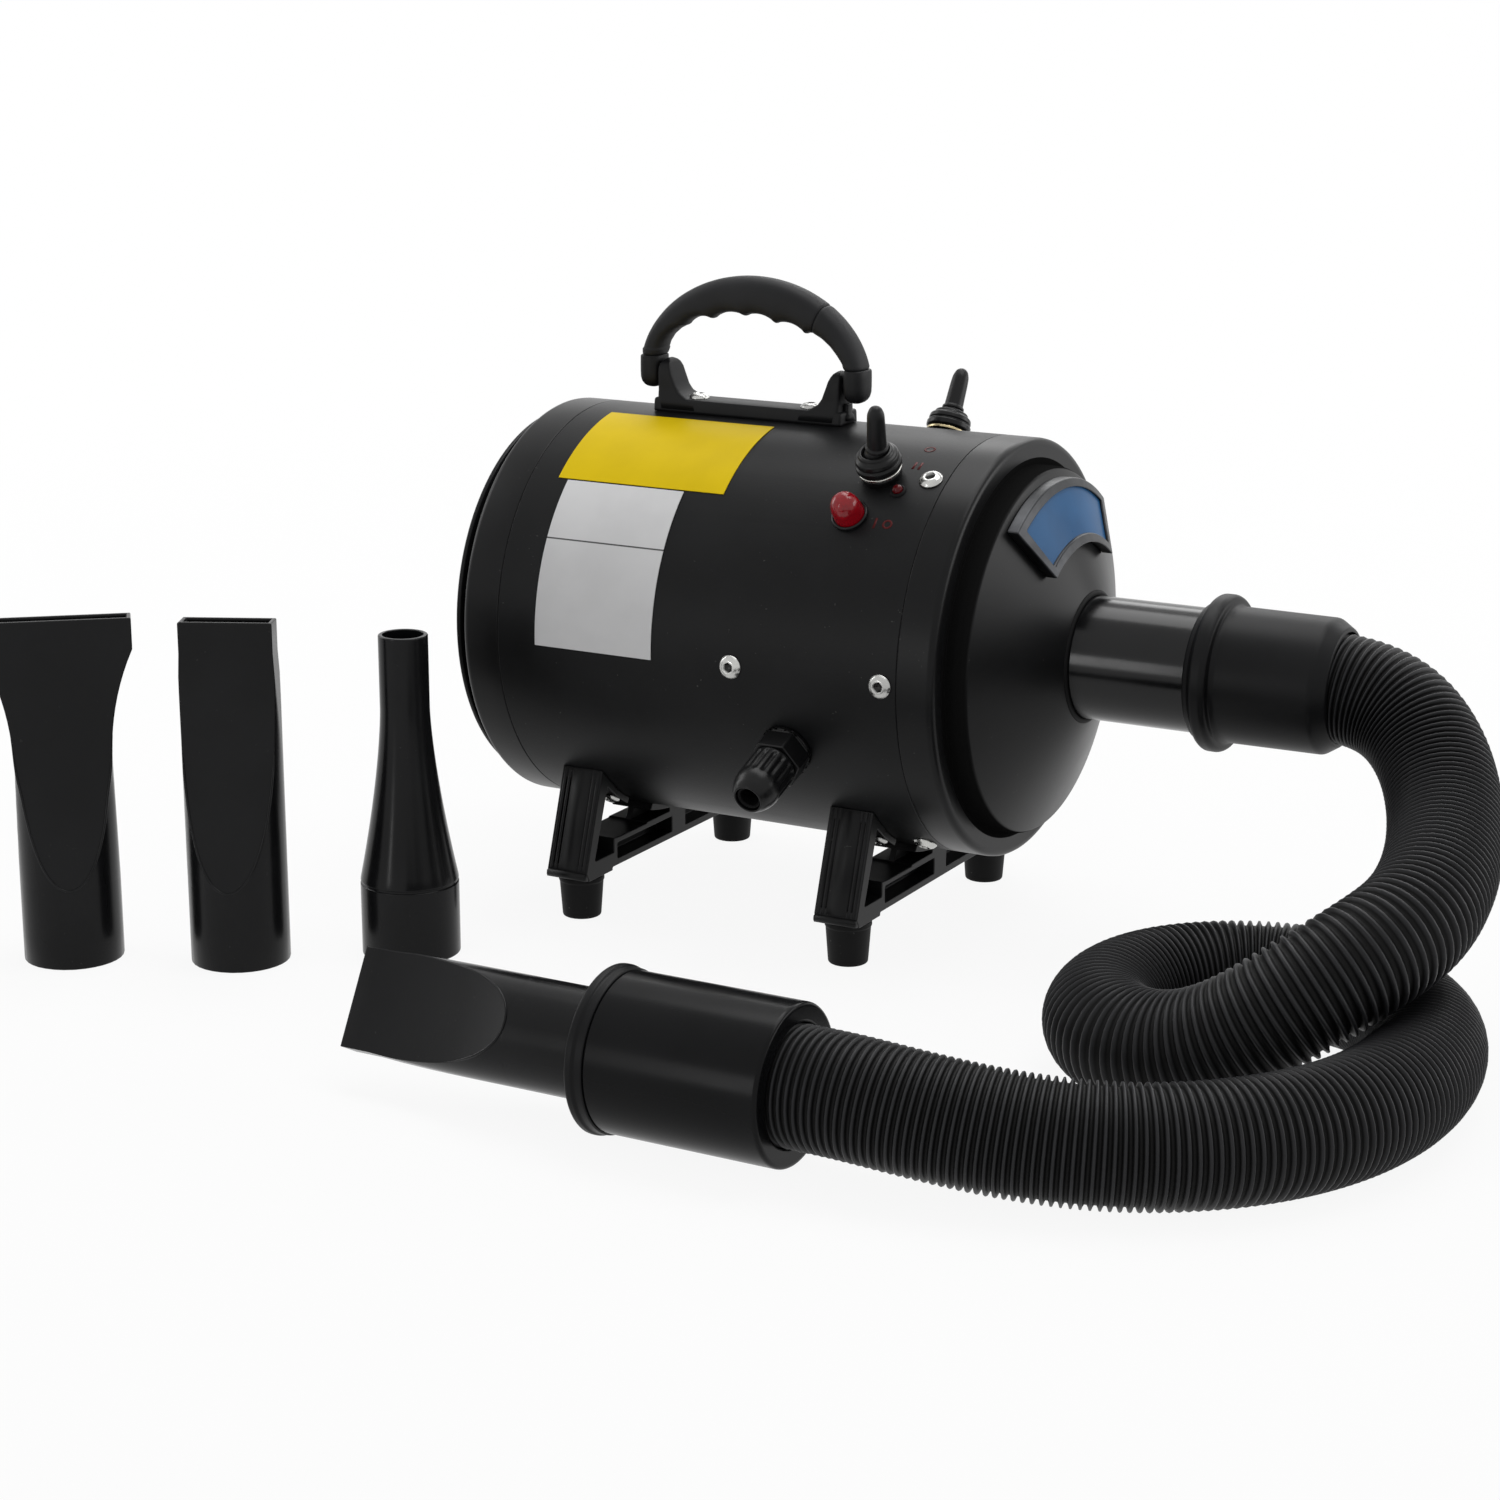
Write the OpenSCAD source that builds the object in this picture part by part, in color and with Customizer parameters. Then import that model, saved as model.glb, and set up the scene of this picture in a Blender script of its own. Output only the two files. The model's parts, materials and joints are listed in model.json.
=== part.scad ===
// Pet dryer: a blower in a steel shell on four feet, with its hose and four air nozzles.
// Millimetres. +X runs along the blower to its outlet, -Y is the side with the labels and
// +Z is up. The origin lies on the surface the dryer stands on, under the middle of the shell.

/* [Shell] */
// Outer diameter of the steel shell
shell_d = 175; // [165:1:190]
// Length of the steel shell between its two end covers
shell_len = 188; // [184:1:230]
// Thickness of the shell's sheet steel
shell_wall = 1.2; // [0.8:0.1:2]
// Height of the blower's axis over the surface it stands on
axis_height = 125; // [118:1:145]
// Gap left round a part that slides into the shell
seat_gap = 0.3; // [0.1:0.05:0.5]

/* [Rear cover] */
// Length of the rear cover behind the shell
rear_len = 18; // [14:1:30]
// Wall of the end covers
cover_wall = 2.4; // [1.6:0.1:4]
// Rounding of the end covers' outer edges
cover_round = 3; // [1:0.5:4]
// Depth to which the rear cover reaches into the shell
rear_spigot = 8; // [5:1:14]
// Height of the intake slot under the rear disc
intake_gap = 4; // [3:0.5:8]
// Width of the rim between the shell's outline and the rear disc
rear_rim = 5.5; // [3:0.5:12]
// Thickness of the rear disc at its rim
disc_t = 3.4; // [2:0.2:6]
// Rise of the rear disc's dome
disc_dome = 3.4; // [1:0.2:8]
// Number of ribs across the intake slot
intake_ribs = 16; // [8:1:24]
// Thickness of the foam filter
filter_t = 8; // [4:1:10]

/* [Front cover] */
// Length of the front cover's full-width band
front_len = 16; // [12:1:30]
// Depth to which the front cover reaches into the shell
front_spigot = 14; // [12:1:20]
// Width of the flat step round the raised boss
boss_step = 11; // [6:0.5:16]
// Height of the boss wall over the flat step
boss_rise = 7; // [4:0.5:15]
// Rounding of the boss's lip
boss_round = 3; // [1:0.5:4]
// Length of the cone from the boss to its tip
cone_len = 20; // [12:1:40]
// Width of the rubber seal round the outlet tube
seal_w = 2; // [1:0.25:4]

/* [Badge] */
// Outer radius of the badge frame
badge_r_out = 72.5; // [66:0.5:72.5]
// Inner radius of the badge frame
badge_r_in = 47; // [40:0.5:52]
// Angle that the badge frame spans
badge_span = 74; // [40:1:100]
// Height of the badge frame over the cone
badge_h = 5; // [3:0.5:8]
// Width of the frame's border
badge_rim = 3.6; // [2:0.2:6]
// Angle that the frame's border takes at each end
badge_end = 4; // [2:0.5:8]
// Depth of the badge plate under the frame's rim
badge_inset = 1.2; // [0.5:0.1:1.5]
// Thickness of the badge plate
badge_plate_t = 1; // [0.5:0.1:1.2]

/* [Outlet and hose cuff] */
// Outer diameter of the outlet tube
outlet_d = 51; // [45:0.5:56]
// Wall of the outlet tube
outlet_wall = 2; // [1.5:0.1:3]
// Length of the outlet tube in front of the cone's tip
outlet_len = 63; // [50:1:80]
// Bare length of the outlet tube between the cone and the cuff
outlet_bare = 48; // [40:1:52]
// Clearance between the outlet tube and the hose cuff, on the radius
cuff_fit = 0.25; // [0.2:0.05:0.5]
// Outer diameter of the cuff's bulged collar
collar_d = 64; // [60:0.5:70]
// Length of the cuff's bulged collar
collar_len = 16; // [12:1:20]
// Wall of the cuff's sleeve over the outlet tube's outline
sleeve_wall = 2; // [1.5:0.1:4]
// Length of the cuff's sleeve in front of the collar
sleeve_len = 37; // [30:1:50]
// Length of the chamfer at the sleeve's far end
sleeve_chamfer = 8; // [4:1:10]
// Thickness of the stop ring that the hose's end meets
stop_t = 3; // [2:0.5:4]

/* [Hose] */
// Outer diameter of the hose over its ribs
hose_d = 44; // [36:0.5:44]
// Depth of the grooves between the hose's ribs
rib_depth = 2.4; // [1:0.2:3]
// Wall of the hose under the grooves
hose_wall = 1.6; // [1:0.2:3]
// Clearance round the hose where it enters a cuff, on the radius
hose_fit = 0.3; // [0.2:0.05:0.6]

/* [Far cuff] */
// Outer diameter of the cuff at the hose's far end
far_cuff_d = 59; // [54:0.5:62]
// Wall of the far cuff
far_cuff_wall = 3; // [2:0.2:4]
// Length of the far cuff's tube
far_cuff_len = 69; // [60:1:100]
// Outer diameter of the clamp ring on the far cuff's mouth
ring_d = 62; // [60:0.5:62]
// Length of the clamp ring
ring_len = 7; // [6:1:12]
// Depth of the nozzle bush behind the clamp ring's face
bush_depth = 14; // [11:1:20]
// Clearance between a nozzle's tube and its bush, on the radius
nozzle_fit = 0.25; // [0.2:0.05:0.5]
// Length of nozzle held in the far cuff
nozzle_grip = 35.5; // [30:0.5:60]
// Tilt of the fitted nozzle's slot away from upright
fitted_tilt = 29; // [0:1:60]
// Height of the fitted nozzle's scoop above its foot
fitted_scoop_z = 68; // [34:1:90]

/* [Nozzles] */
// Outer diameter of the nozzles' round end
nozzle_d = 41; // [38:0.5:46]
// Wall of the nozzles
nozzle_wall = 1.8; // [1.2:0.1:2.5]
// Height of the flat nozzles
nozzle_len = 144; // [120:1:170]
// Height at which the flat nozzles start to flatten
scoop_z = 34; // [20:1:45]
// Length of the flat nozzles' straight mouth
mouth_len = 13; // [8:1:20]
// Depth of the flat nozzles' mouth over its walls
mouth_t = 10.5; // [8:0.5:16]
// Width of the wide nozzle's mouth
wide_w = 60; // [48:1:80]
// Width of the wide nozzle's neck
wide_neck = 39.4; // [32:0.2:40]
// Width of the narrow nozzle's mouth
narrow_w = 38.5; // [34:0.5:39]
// Height of the neck of the wide nozzle
neck_z = 82; // [70:1:100]
// Height of the round nozzle
round_len = 136; // [120:1:160]
// Outer diameter of the round nozzle's tip
tip_d = 20.5; // [14:0.5:24]
// Height of the seam on the round nozzle
seam_z = 33; // [25:1:55]
// Height at which the round nozzle's flare ends
flare_z = 105; // [85:1:115]

/* [Handle] */
// Length of the handle over its end caps
handle_len = 108.7; // [100:0.5:130]
// Rise of the handle over its hinge
handle_rise = 43.4; // [40:0.5:60]
// Thickness of the grip at its top
grip_t = 15.2; // [10:0.2:18]
// Thickness of the grip's legs
leg_t = 13.5; // [12.5:0.5:16]
// Width of the handle across the blower
handle_w = 14; // [12:0.5:16]
// Place of the handle's middle along the shell
handle_x = -18.35; // [-22:0.5:-10]
// Width of the handle's base across the blower
base_w = 16; // [14:1:30]
// Thickness of the handle's base over the shell's top
base_t = 5.5; // [4:0.5:8]
// Height of the hinge over the base
hinge_rise = 10.5; // [9.5:0.5:14]
// Diameter of the hinge pins
pin_d = 5; // [4:0.5:6]
// Length of the end caps along the hinge
cap_len = 10; // [8:0.5:11]
// Gap between an end cap and the post beside it
cap_gap = 0.3; // [0.2:0.05:0.6]
// Number of finger grooves under the grip
finger_grooves = 4; // [3:1:5]
// Distance between the screws that hold the base
base_screw_pitch = 54.4; // [40:0.2:60]

/* [Switches and lamp] */
// Place of the near switch along the shell
near_switch_x = 65; // [60:1:68]
// Angle of the near switch from the top, negative on the near side
near_switch_angle = -30; // [-34:1:-26]
// Rest tilt of the near switch's lever towards the outlet
near_throw = 12; // [0:1:15]
// Place of the far switch along the shell
far_switch_x = 51; // [46:1:68]
// Angle of the far switch from the top
far_switch_angle = 30; // [26:1:40]
// Diameter of the switches' threaded bushing
bushing_d = 11.8; // [10:0.2:12]
// Height of the collar under a switch's nut
collar_h = 3.2; // [2:0.2:5]
// Thickness of the washer on a switch's collar
washer_t = 1.2; // [0.8:0.1:2]
// Width across the flats of a switch's boot nut
nut_af = 18; // [16:0.5:20]
// Height of a switch's boot nut
nut_h = 7; // [5:0.5:9]
// Length of the levers over their pivot
lever_len = 23; // [18:1:30]
// Diameter of the levers at their tip
lever_tip_d = 6.6; // [5:0.2:7]
// Diameter of the levers' pivot ball
ball_d = 9; // [8:0.2:9.4]
// Place of the lamp along the shell
lamp_x = 60; // [54:1:70]
// Angle of the lamp from the top
lamp_angle = -45; // [-50:1:-44]
// Diameter of the lamp's bezel
bezel_d = 15.6; // [14:0.2:18]
// Diameter of the lamp's lens
lens_d = 13.2; // [11:0.2:13.4]
// Height of the lamp's lens over the shell
lens_h = 9.5; // [7:0.5:12]

/* [Cable gland] */
// Place of the cable gland along the shell
gland_x = 42; // [36:1:48]
// Angle of the cable gland from the top
gland_angle = -112; // [-116:1:-104]
// Width across the flats of the gland's body
gland_af = 20; // [18:0.5:24]
// Height of the gland's hexagon over its washer
gland_hex_h = 10; // [6:0.5:14]
// Length of the gland's cap over its hexagon
gland_cap_h = 24; // [18:1:30]
// Diameter of the gland's cap
gland_cap_d = 19.5; // [17:0.5:20]
// Diameter of the gland's thread
gland_thread_d = 16; // [14:0.5:16]
// Diameter of the hole for the mains cable
cable_hole_d = 8; // [6:0.2:9]

/* [Legs] */
// Distance of the rear legs behind the middle of the shell
rear_leg_x = 67; // [60:1:70]
// Distance of the front legs before the middle of the shell
front_leg_x = 63; // [56:1:70]
// Distance of the feet's middles from the middle plane
foot_y = 66.3; // [60:0.5:72]
// Width of a leg bracket along the shell
leg_w = 20; // [16:0.5:24]
// Height of the rubber feet
foot_h = 18.5; // [14:0.5:24]
// Diameter of the feet at the top
foot_top_d = 19.6; // [16:0.2:20]
// Diameter of the feet at the bottom
foot_base_d = 16.6; // [12:0.2:18]
// Height of the cross bar of a bracket
bar_h = 13; // [9:0.5:15]
// Thickness of the web of a bracket
web_t = 3; // [3:0.5:6]
// Thickness of the flanges of a bracket
flange_t = 3; // [2:0.5:4]
// Thickness of the bracket's lug on the shell
lug_t = 3; // [2:0.5:4]
// Angle of the bracket screws from the top
lug_angle = 147; // [146:1:150]

/* [Labels] */
// Thickness of the labels
label_t = 0.3; // [0.2:0.05:0.5]
// Rear edge of the caution label along the shell
caution_x = -80; // [-86:1:-70]
// Length of the caution label along the shell
caution_len = 80; // [60:1:90]
// Upper edge of the caution label from the top
caution_top = 10.5; // [10:0.5:14]
// Angle that the caution label spans round the shell
caution_span = 32; // [24:1:32]
// Rear edge of the rating label along the shell
rating_x = -75; // [-84:1:-66]
// Length of the rating label along the shell
rating_len = 56.5; // [40:0.5:70]
// Angle that the rating label spans round the shell
rating_span = 48; // [30:1:54]

/* [Motor and fan] */
// Outer diameter of the fan housing
fan_d = 136; // [120:1:144]
// Length of the fan housing
fan_len = 46; // [40:1:52]
// Sheet thickness of the fan and motor housings
housing_wall = 1.6; // [1:0.1:2.4]
// Gap between the impellers and the fan housing, on the radius
impeller_gap = 4.4; // [2:0.2:8]
// Length of each impeller along the shaft
impeller_len = 13; // [9:0.5:15]
// Number of blades on each impeller
blades = 9; // [6:1:14]
// Outer diameter of the motor housing
motor_d = 90; // [80:1:100]
// Length of the motor housing
motor_len = 56; // [54:1:66]
// Place of the motor housing's rear face along the shell
motor_x = -20; // [-24:1:-16]
// Diameter of the motor shaft
shaft_d = 8; // [6:0.5:10]
// Outer diameter of the shaft's ball bearings
bearing_d = 22; // [19:1:26]
// Width of the shaft's ball bearings
bearing_w = 7; // [5:0.5:8]
// Running clearance of the shaft in its bearings, on the radius
shaft_fit = 0.05; // [0.02:0.01:0.1]
// Outer diameter of the rotor's core
rotor_d = 52; // [44:1:56]
// Length of the rotor's and stator's cores
core_len = 30; // [24:1:30]
// Air gap between rotor and stator
air_gap = 0.8; // [0.5:0.1:1.5]
// Place of the motor's fixing screws along the shell
mount_x = 19; // [16:1:22]
// Length of the motor mount along the shell
mount_len = 10; // [8:0.5:14]

/* [Heater] */
// Outer diameter of the heater's duct
duct_d = 80; // [72:1:90]
// Sheet thickness of the duct
duct_wall = 1.2; // [0.8:0.1:2]
// Place of the duct's open rear end along the shell
duct_x = 46; // [43:1:48]
// Thickness of the heater's mica plates
mica_t = 1; // [0.8:0.1:2]
// Diameter of the heater's coils
coil_d = 6; // [4:0.5:8]

/* [Screws] */
// Diameter of the button heads on the shell
head_d = 10; // [9:0.5:12]
// Height of the button heads
head_h = 3; // [2:0.2:4]
// Diameter of the screws' shanks
shank_d = 5; // [4:0.5:5]
// Width across the flats of the hexagon sockets
socket_af = 4; // [3:0.5:5]

/* [Hidden] */

$fn = 72;
cut = 1;                                    // how far a cutter runs past a face

// Shell and its planes along X
shell_r = shell_d / 2;
bore_r = shell_r - shell_wall;
seat_r = bore_r - seat_gap;
shell_x0 = -shell_len / 2;
shell_x1 = shell_len / 2;

// Rear cover
rear_x = shell_x0 - rear_len;
spigot_in_r = seat_r - cover_wall;
disc_r = shell_r - rear_rim;
disc_x = rear_x - intake_gap;
intake_rib_w = 1.6;
intake_rib_r = disc_r - 1.5;
hub_boss_r = 9;
window_r0 = 24;
window_r1 = intake_rib_r - 6;
rear_windows = 8;
rear_spoke_w = 5;

// Front cover: the cone runs from the boss's lip to the tip round the outlet tube
front_x = shell_x1 + front_len;
boss_r = shell_r - boss_step;
boss_x = front_x + boss_rise;
lip_x = boss_x + boss_round;
lip_r = boss_r - boss_round;
tip_x = lip_x + cone_len;
outlet_r = outlet_d / 2;
seal_r = outlet_r + seal_w;
screw_ring_x = shell_x1 - front_spigot / 2;
cover_screw_angles = [for (k = [0:5]) -150 + 60 * k];

// Outlet, cuff and the two ends of the hose
tube_end_x = tip_x + outlet_len;
cuff_x = tip_x + outlet_bare;
sleeve_x = cuff_x + collar_len;
sleeve_end_x = sleeve_x + sleeve_len + sleeve_chamfer;
sleeve_r = outlet_r + sleeve_wall;
cuff_bore_r = outlet_r + cuff_fit;
stop_x = tube_end_x + 3;
hose_r = hose_d / 2;
groove_r = hose_r - rib_depth;
hose_bore_r = groove_r - hose_wall;
hose_seat_r = hose_r + hose_fit;
stop_r = hose_bore_r + 1;
hose_x0 = stop_x + stop_t;

// The hose's far end lies on the floor, on the clamp ring
far_y = -273;
far_z = ring_d / 2;
far_end_x = 150;                            // the hose comes out of the far cuff here
ring_x = far_end_x - far_cuff_len;          // the clamp ring's inner face
mouth_x = ring_x - ring_len;
far_r = far_cuff_d / 2;
far_bore_r = far_r - far_cuff_wall;
nozzle_r = nozzle_d / 2;
nozzle_seat_r = nozzle_r + nozzle_fit;
nozzle_end_x = mouth_x + nozzle_grip;
far_stop_x = nozzle_end_x + 1.5;
hose_x1 = far_stop_x + stop_t;

// Route of the hose: the points that its curve is drawn to, out of the sleeve, down onto the
// floor, once round in a loop that it crosses over, and back along the floor to the far cuff
hose_route = [
    [hose_x0, 0, axis_height], [231, 0, axis_height], [254, 0, axis_height],
    [274, -2, 119], [291, -14, 105], [303, -36, 91], [311, -62, 82], [316, -90, 76],
    [316, -116, 70], [306, -139, 63], [288, -154, 50], [268, -161, 34], [246, -163, 24],
    [223, -158, 22], [206, -142, 22], [200, -119, 22], [204, -96, 22], [216, -78, 22],
    [233, -65, 22], [255, -58, 22], [278, -61, 22], [300, -72, 22], [317, -92, 22],
    [326, -119, 22], [328, -150, 22], [322, -183, 22], [307, -213, 22], [284, -237, 22],
    [256, -253, 22], [225, -263, 24], [194, -270, 28], [170, far_y, far_z],
    [150, far_y, far_z], [132, far_y, far_z], [hose_x1, far_y, far_z],
];
hose_ribs = 160;
hose_sides = 8;
bore_rings = 80;

// Handle
hinge_z = axis_height + shell_r + base_t + hinge_rise;
handle_a = handle_len / 2;
handle_in_a = handle_a - leg_t;
handle_in_b = handle_rise - grip_t;
cap_r = handle_w / 2;
cap_top = hinge_z + cap_r + 0.2;
joint_gap = 0.1;
joint_z = cap_top + joint_gap;              // the arch starts here, on the end caps
post_x0 = handle_x - handle_a + cap_len + cap_gap;
post_x1 = handle_x + handle_a - cap_len - cap_gap;
post_t = 8;
post_r = 5.5;
elbow_x = handle_x + 39.4;                  // where the grip ends and the elbow starts
elbow_slant = 24;
base_top = axis_height + shell_r + base_t;
base_tab = 1.4;                             // the base's foot beyond each post
base_x0 = post_x0 - base_tab;
base_x1 = post_x1 + base_tab;
base_head_d = 9;

// Switches
bushing_r = bushing_d / 2;
collar_top = shell_r + collar_h;
washer_top = collar_top + washer_t;
nut_top = washer_top + nut_h;
pivot_r = nut_top - 2.4;
ball_r = ball_d / 2;
ball_fit = 0.2;
bushing_top = pivot_r - 1.5;
lever_stem_r = 1.5;
collar_r = 8.6;
washer_r = 9.2;
switch_box = [26, 16, 18];                  // along the shell, across it and inwards

// Leg brackets
bar_z = foot_h + 1.5;
bar_top = bar_z + bar_h;
foot_top_r = foot_top_d / 2;
foot_base_r = foot_base_d / 2;
post_foot_y = foot_y + foot_top_r + 2;      // outer corner of a leg over its foot
leg_top_y = shell_r * sin(47);              // outer corner of a leg on the shell
leg_top_z = axis_height - shell_r * cos(47);
leg_in_y = shell_r * sin(35);               // inner corner of a leg on the shell
saddle_y = shell_r * sin(15);               // edge of the cradle under the shell
lug_inset = 0.6;                            // the lugs are this much narrower at each side
foot_pad_h = 5;
foot_screw_r = 1.9;
foot_head_r = 4;

// Gland
gland_washer_t = 2;
gland_hex_z = shell_r + gland_washer_t;
gland_cap_z = gland_hex_z + gland_hex_h;
gland_end_z = gland_cap_z + gland_cap_h;
gland_nut_t = 5;
gland_bore_r = cable_hole_d / 2 + 2;
hex_r = function(af) af / 2 / cos(30);

// Motor and fan along X, from the rear
motor_r = motor_d / 2;
fan_r = fan_d / 2;
impeller_d = fan_d - 2 * (housing_wall + impeller_gap);
fan_x0 = motor_x - fan_len;
shaft_r = shaft_d / 2;
bearing_r = bearing_d / 2;
motor_x1 = motor_x + motor_len;
core_x = motor_x + 12;
rotor_r = rotor_d / 2;
stator_in_r = rotor_r + air_gap;
commutator_r = 12;
commutator_len = 6;
brush_w = 8;
fan_inlet_r = 24;
diffuser_x = fan_x0 + fan_len / 2;

// Heater
duct_r = duct_d / 2;
duct_x1 = front_x + 2;
duct_flange_x = front_x - cover_wall - duct_wall;   // the flange lies on the inside of the step
duct_flange_r = spigot_in_r - seat_gap;
outlet_flange_r = outlet_r + 7;
outlet_flange_t = 2;

// ---- shapes used by several parts ----

// A profile of [x, radius] points turned about the blower's axis
module turned(profile)
    translate([0, 0, axis_height]) rotate([0, 90, 0])
        rotate_extrude() polygon([for (p = profile) [p[1], p[0]]]);

// A tube on the blower's axis
module axial_tube(x0, x1, r_out, r_in)
    turned([[x0, r_in], [x0, r_out], [x1, r_out], [x1, r_in]]);

// Part of a tube on the blower's axis, between two angles from the top
module sector(x0, x1, r0, r1, a0, a1)
    translate([0, 0, axis_height]) rotate([0, 90, 0]) rotate([0, 0, 180 - a1])
        rotate_extrude(angle = a1 - a0) translate([r0, x0]) square([r1 - r0, x1 - x0]);

// Children drawn along the radius: their z is the distance from the blower's axis
module on_shell(x, angle)
    translate([x, 0, axis_height]) rotate([-angle, 0, 0]) children();

// Children drawn along +Z, laid along +X on the far cuff's axis
module on_far_axis(x)
    translate([x, far_y, far_z]) rotate([0, 90, 0]) children();

// Points of a quarter round from angle a0 to a1, in the (x, radius) plane
function arc(cx, cr, r, a0, a1, steps = 5) =
    [for (k = [0:steps]) let (a = a0 + (a1 - a0) * k / steps) [cx + r * cos(a), cr + r * sin(a)]];

// Button-head screw along +Z: the head's seat is at z = 0 and the shank runs down
module button_screw(d, length, head)
    difference() {
        union() {
            rotate_extrude() polygon([[0, 0], [head / 2, 0], [head / 2, head_h * 0.3],
                [head * 0.43, head_h * 0.68], [head * 0.3, head_h * 0.93], [0, head_h]]);
            translate([0, 0, -length]) cylinder(d = d, h = length + head_h / 4);
        }
        translate([0, 0, head_h * 0.35]) cylinder(d = socket_af / cos(30), h = head_h, $fn = 6);
    }

// Height of the cone's surface along X at a radius
function cone_x(r) = lip_x + cone_len * (lip_r - r) / (lip_r - seal_r);

// ---- shell and covers ----

module shell_holes() {
    for (a = cover_screw_angles)
        on_shell(screw_ring_x, a) translate([0, 0, bore_r - cut])
            cylinder(d = shank_d, h = shell_wall + 2 * cut);
    for (a = [-90, 90])
        on_shell(mount_x, a) translate([0, 0, bore_r - cut])
            cylinder(d = shank_d, h = shell_wall + 2 * cut);
    on_shell(near_switch_x, near_switch_angle) translate([0, 0, bore_r - cut * 2])
        cylinder(r = bushing_r, h = shell_wall + 4 * cut);
    on_shell(far_switch_x, far_switch_angle) translate([0, 0, bore_r - cut * 2])
        cylinder(r = bushing_r, h = shell_wall + 4 * cut);
    on_shell(lamp_x, lamp_angle) translate([0, 0, bore_r - cut * 2])
        cylinder(d = lens_d - 2, h = shell_wall + 4 * cut);
    on_shell(gland_x, gland_angle) translate([0, 0, bore_r - cut * 2])
        cylinder(d = gland_thread_d, h = shell_wall + 4 * cut);
    for (x = base_screw_xs())
        on_shell(x, 0) translate([0, 0, bore_r - cut]) cylinder(d = shank_d - 1, h = 4 * cut);
    for (x = [-rear_leg_x, front_leg_x], side = [-1, 1])
        on_shell(x + 5, side * lug_angle) translate([0, 0, bore_r - cut])
            cylinder(d = shank_d - 1, h = shell_wall + 2 * cut);
}

module body_shell()
    color("#3c3d40") difference() {
        axial_tube(shell_x0, shell_x1, shell_r, bore_r);
        shell_holes();
    }

// Ring with a grille behind the foam filter, and short ribs that carry the rear disc
module rear_cap()
    color("#2a2b2d") {
        difference() {
            union() {
                turned(concat(
                    [[shell_x0, shell_r]],
                    arc(rear_x + cover_round, shell_r - cover_round, cover_round, 90, 180),
                    [[rear_x, 0], [rear_x + cover_wall, 0], [rear_x + cover_wall, spigot_in_r],
                        [shell_x0 + rear_spigot, spigot_in_r], [shell_x0 + rear_spigot, seat_r],
                        [shell_x0, seat_r]]));
                axial_tube(disc_x, rear_x + cover_wall, hub_boss_r, shank_d / 2);
                for (k = [0:intake_ribs - 1])
                    on_shell(rear_x, 360 * (k + 0.5) / intake_ribs)
                        translate([-intake_gap, -intake_rib_w / 2, intake_rib_r - 6])
                            cube([intake_gap + cover_wall / 2, intake_rib_w, 6]);
            }
            for (k = [0:rear_windows - 1])
                sector(rear_x - cut, rear_x + cover_wall + cut, window_r0, window_r1,
                    360 * k / rear_windows + rear_spoke_w, 360 * (k + 1) / rear_windows - rear_spoke_w);
            axial_tube(rear_x - cut, rear_x + cover_wall + cut, shank_d / 2, 0);
        }
    }

module rear_disc()
    color("#2a2b2d") turned([
        [disc_x, shank_d / 2], [disc_x, disc_r - 1.5], [disc_x - 0.8, disc_r],
        [disc_x - disc_t * 0.7, disc_r], [disc_x - disc_t, disc_r - 1.6],
        [disc_x - disc_t - disc_dome * 0.55, disc_r * 0.62],
        [disc_x - disc_t - disc_dome * 0.9, disc_r * 0.3],
        [disc_x - disc_t - disc_dome, head_d / 2], [disc_x - disc_t - disc_dome, shank_d / 2]]);

module rear_screw()
    color("silver")
        translate([disc_x - disc_t - disc_dome, 0, axis_height]) rotate([0, -90, 0])
            button_screw(shank_d, disc_t + disc_dome + intake_gap + cover_wall, head_d);

module foam_filter()
    color("#1c1c1d")
        axial_tube(rear_x + cover_wall + seat_gap, rear_x + cover_wall + seat_gap + filter_t,
            spigot_in_r - seat_gap, 0);

// Band, flat step, boss and cone, with a spigot that the cover screws reach
module front_cover()
    color("#333437") difference() {
        turned(concat(
            [[shell_x1, shell_r]],
            arc(front_x - cover_round, shell_r - cover_round, cover_round, 90, 0),
            [[front_x, boss_r]],
            arc(boss_x, lip_r, boss_round, 90, 0),
            [[tip_x, seal_r], [tip_x - cover_wall, seal_r],
                [lip_x - cover_wall, lip_r - cover_wall / 2], [boss_x - cover_wall / 2, boss_r - cover_wall],
                [front_x - cover_wall, boss_r - cover_wall], [front_x - cover_wall, spigot_in_r],
                [shell_x1 - front_spigot, spigot_in_r], [shell_x1 - front_spigot, seat_r],
                [shell_x1, seat_r]]));
        for (a = cover_screw_angles)
            on_shell(screw_ring_x, a) translate([0, 0, spigot_in_r - cut])
                cylinder(d = shank_d, h = cover_wall + 2 * cut);
    }

// Sector of a ring whose underside lies on the cone
module badge_block(r0, r1, span, h0, h1)
    translate([0, 0, axis_height]) rotate([0, 90, 0]) rotate([0, 0, 180 - span / 2])
        rotate_extrude(angle = span)
            polygon([[r0, cone_x(r0) + h0], [r1, cone_x(r1) + h0], [r1, cone_x(r1) + h1],
                [r0, cone_x(r0) + h1]]);

module badge_frame()
    color("#b9bcc0") difference() {
        badge_block(badge_r_in, badge_r_out, badge_span, 0, badge_h);
        badge_block(badge_r_in + badge_rim, badge_r_out - badge_rim, badge_span - 2 * badge_end,
            badge_h - badge_inset - badge_plate_t, badge_h + cut);
    }

module badge_plate()
    color("#2f4f86")
        badge_block(badge_r_in + badge_rim, badge_r_out - badge_rim, badge_span - 2 * badge_end,
            badge_h - badge_inset - badge_plate_t, badge_h - badge_inset);

// ---- outlet, hose and far cuff ----

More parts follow.
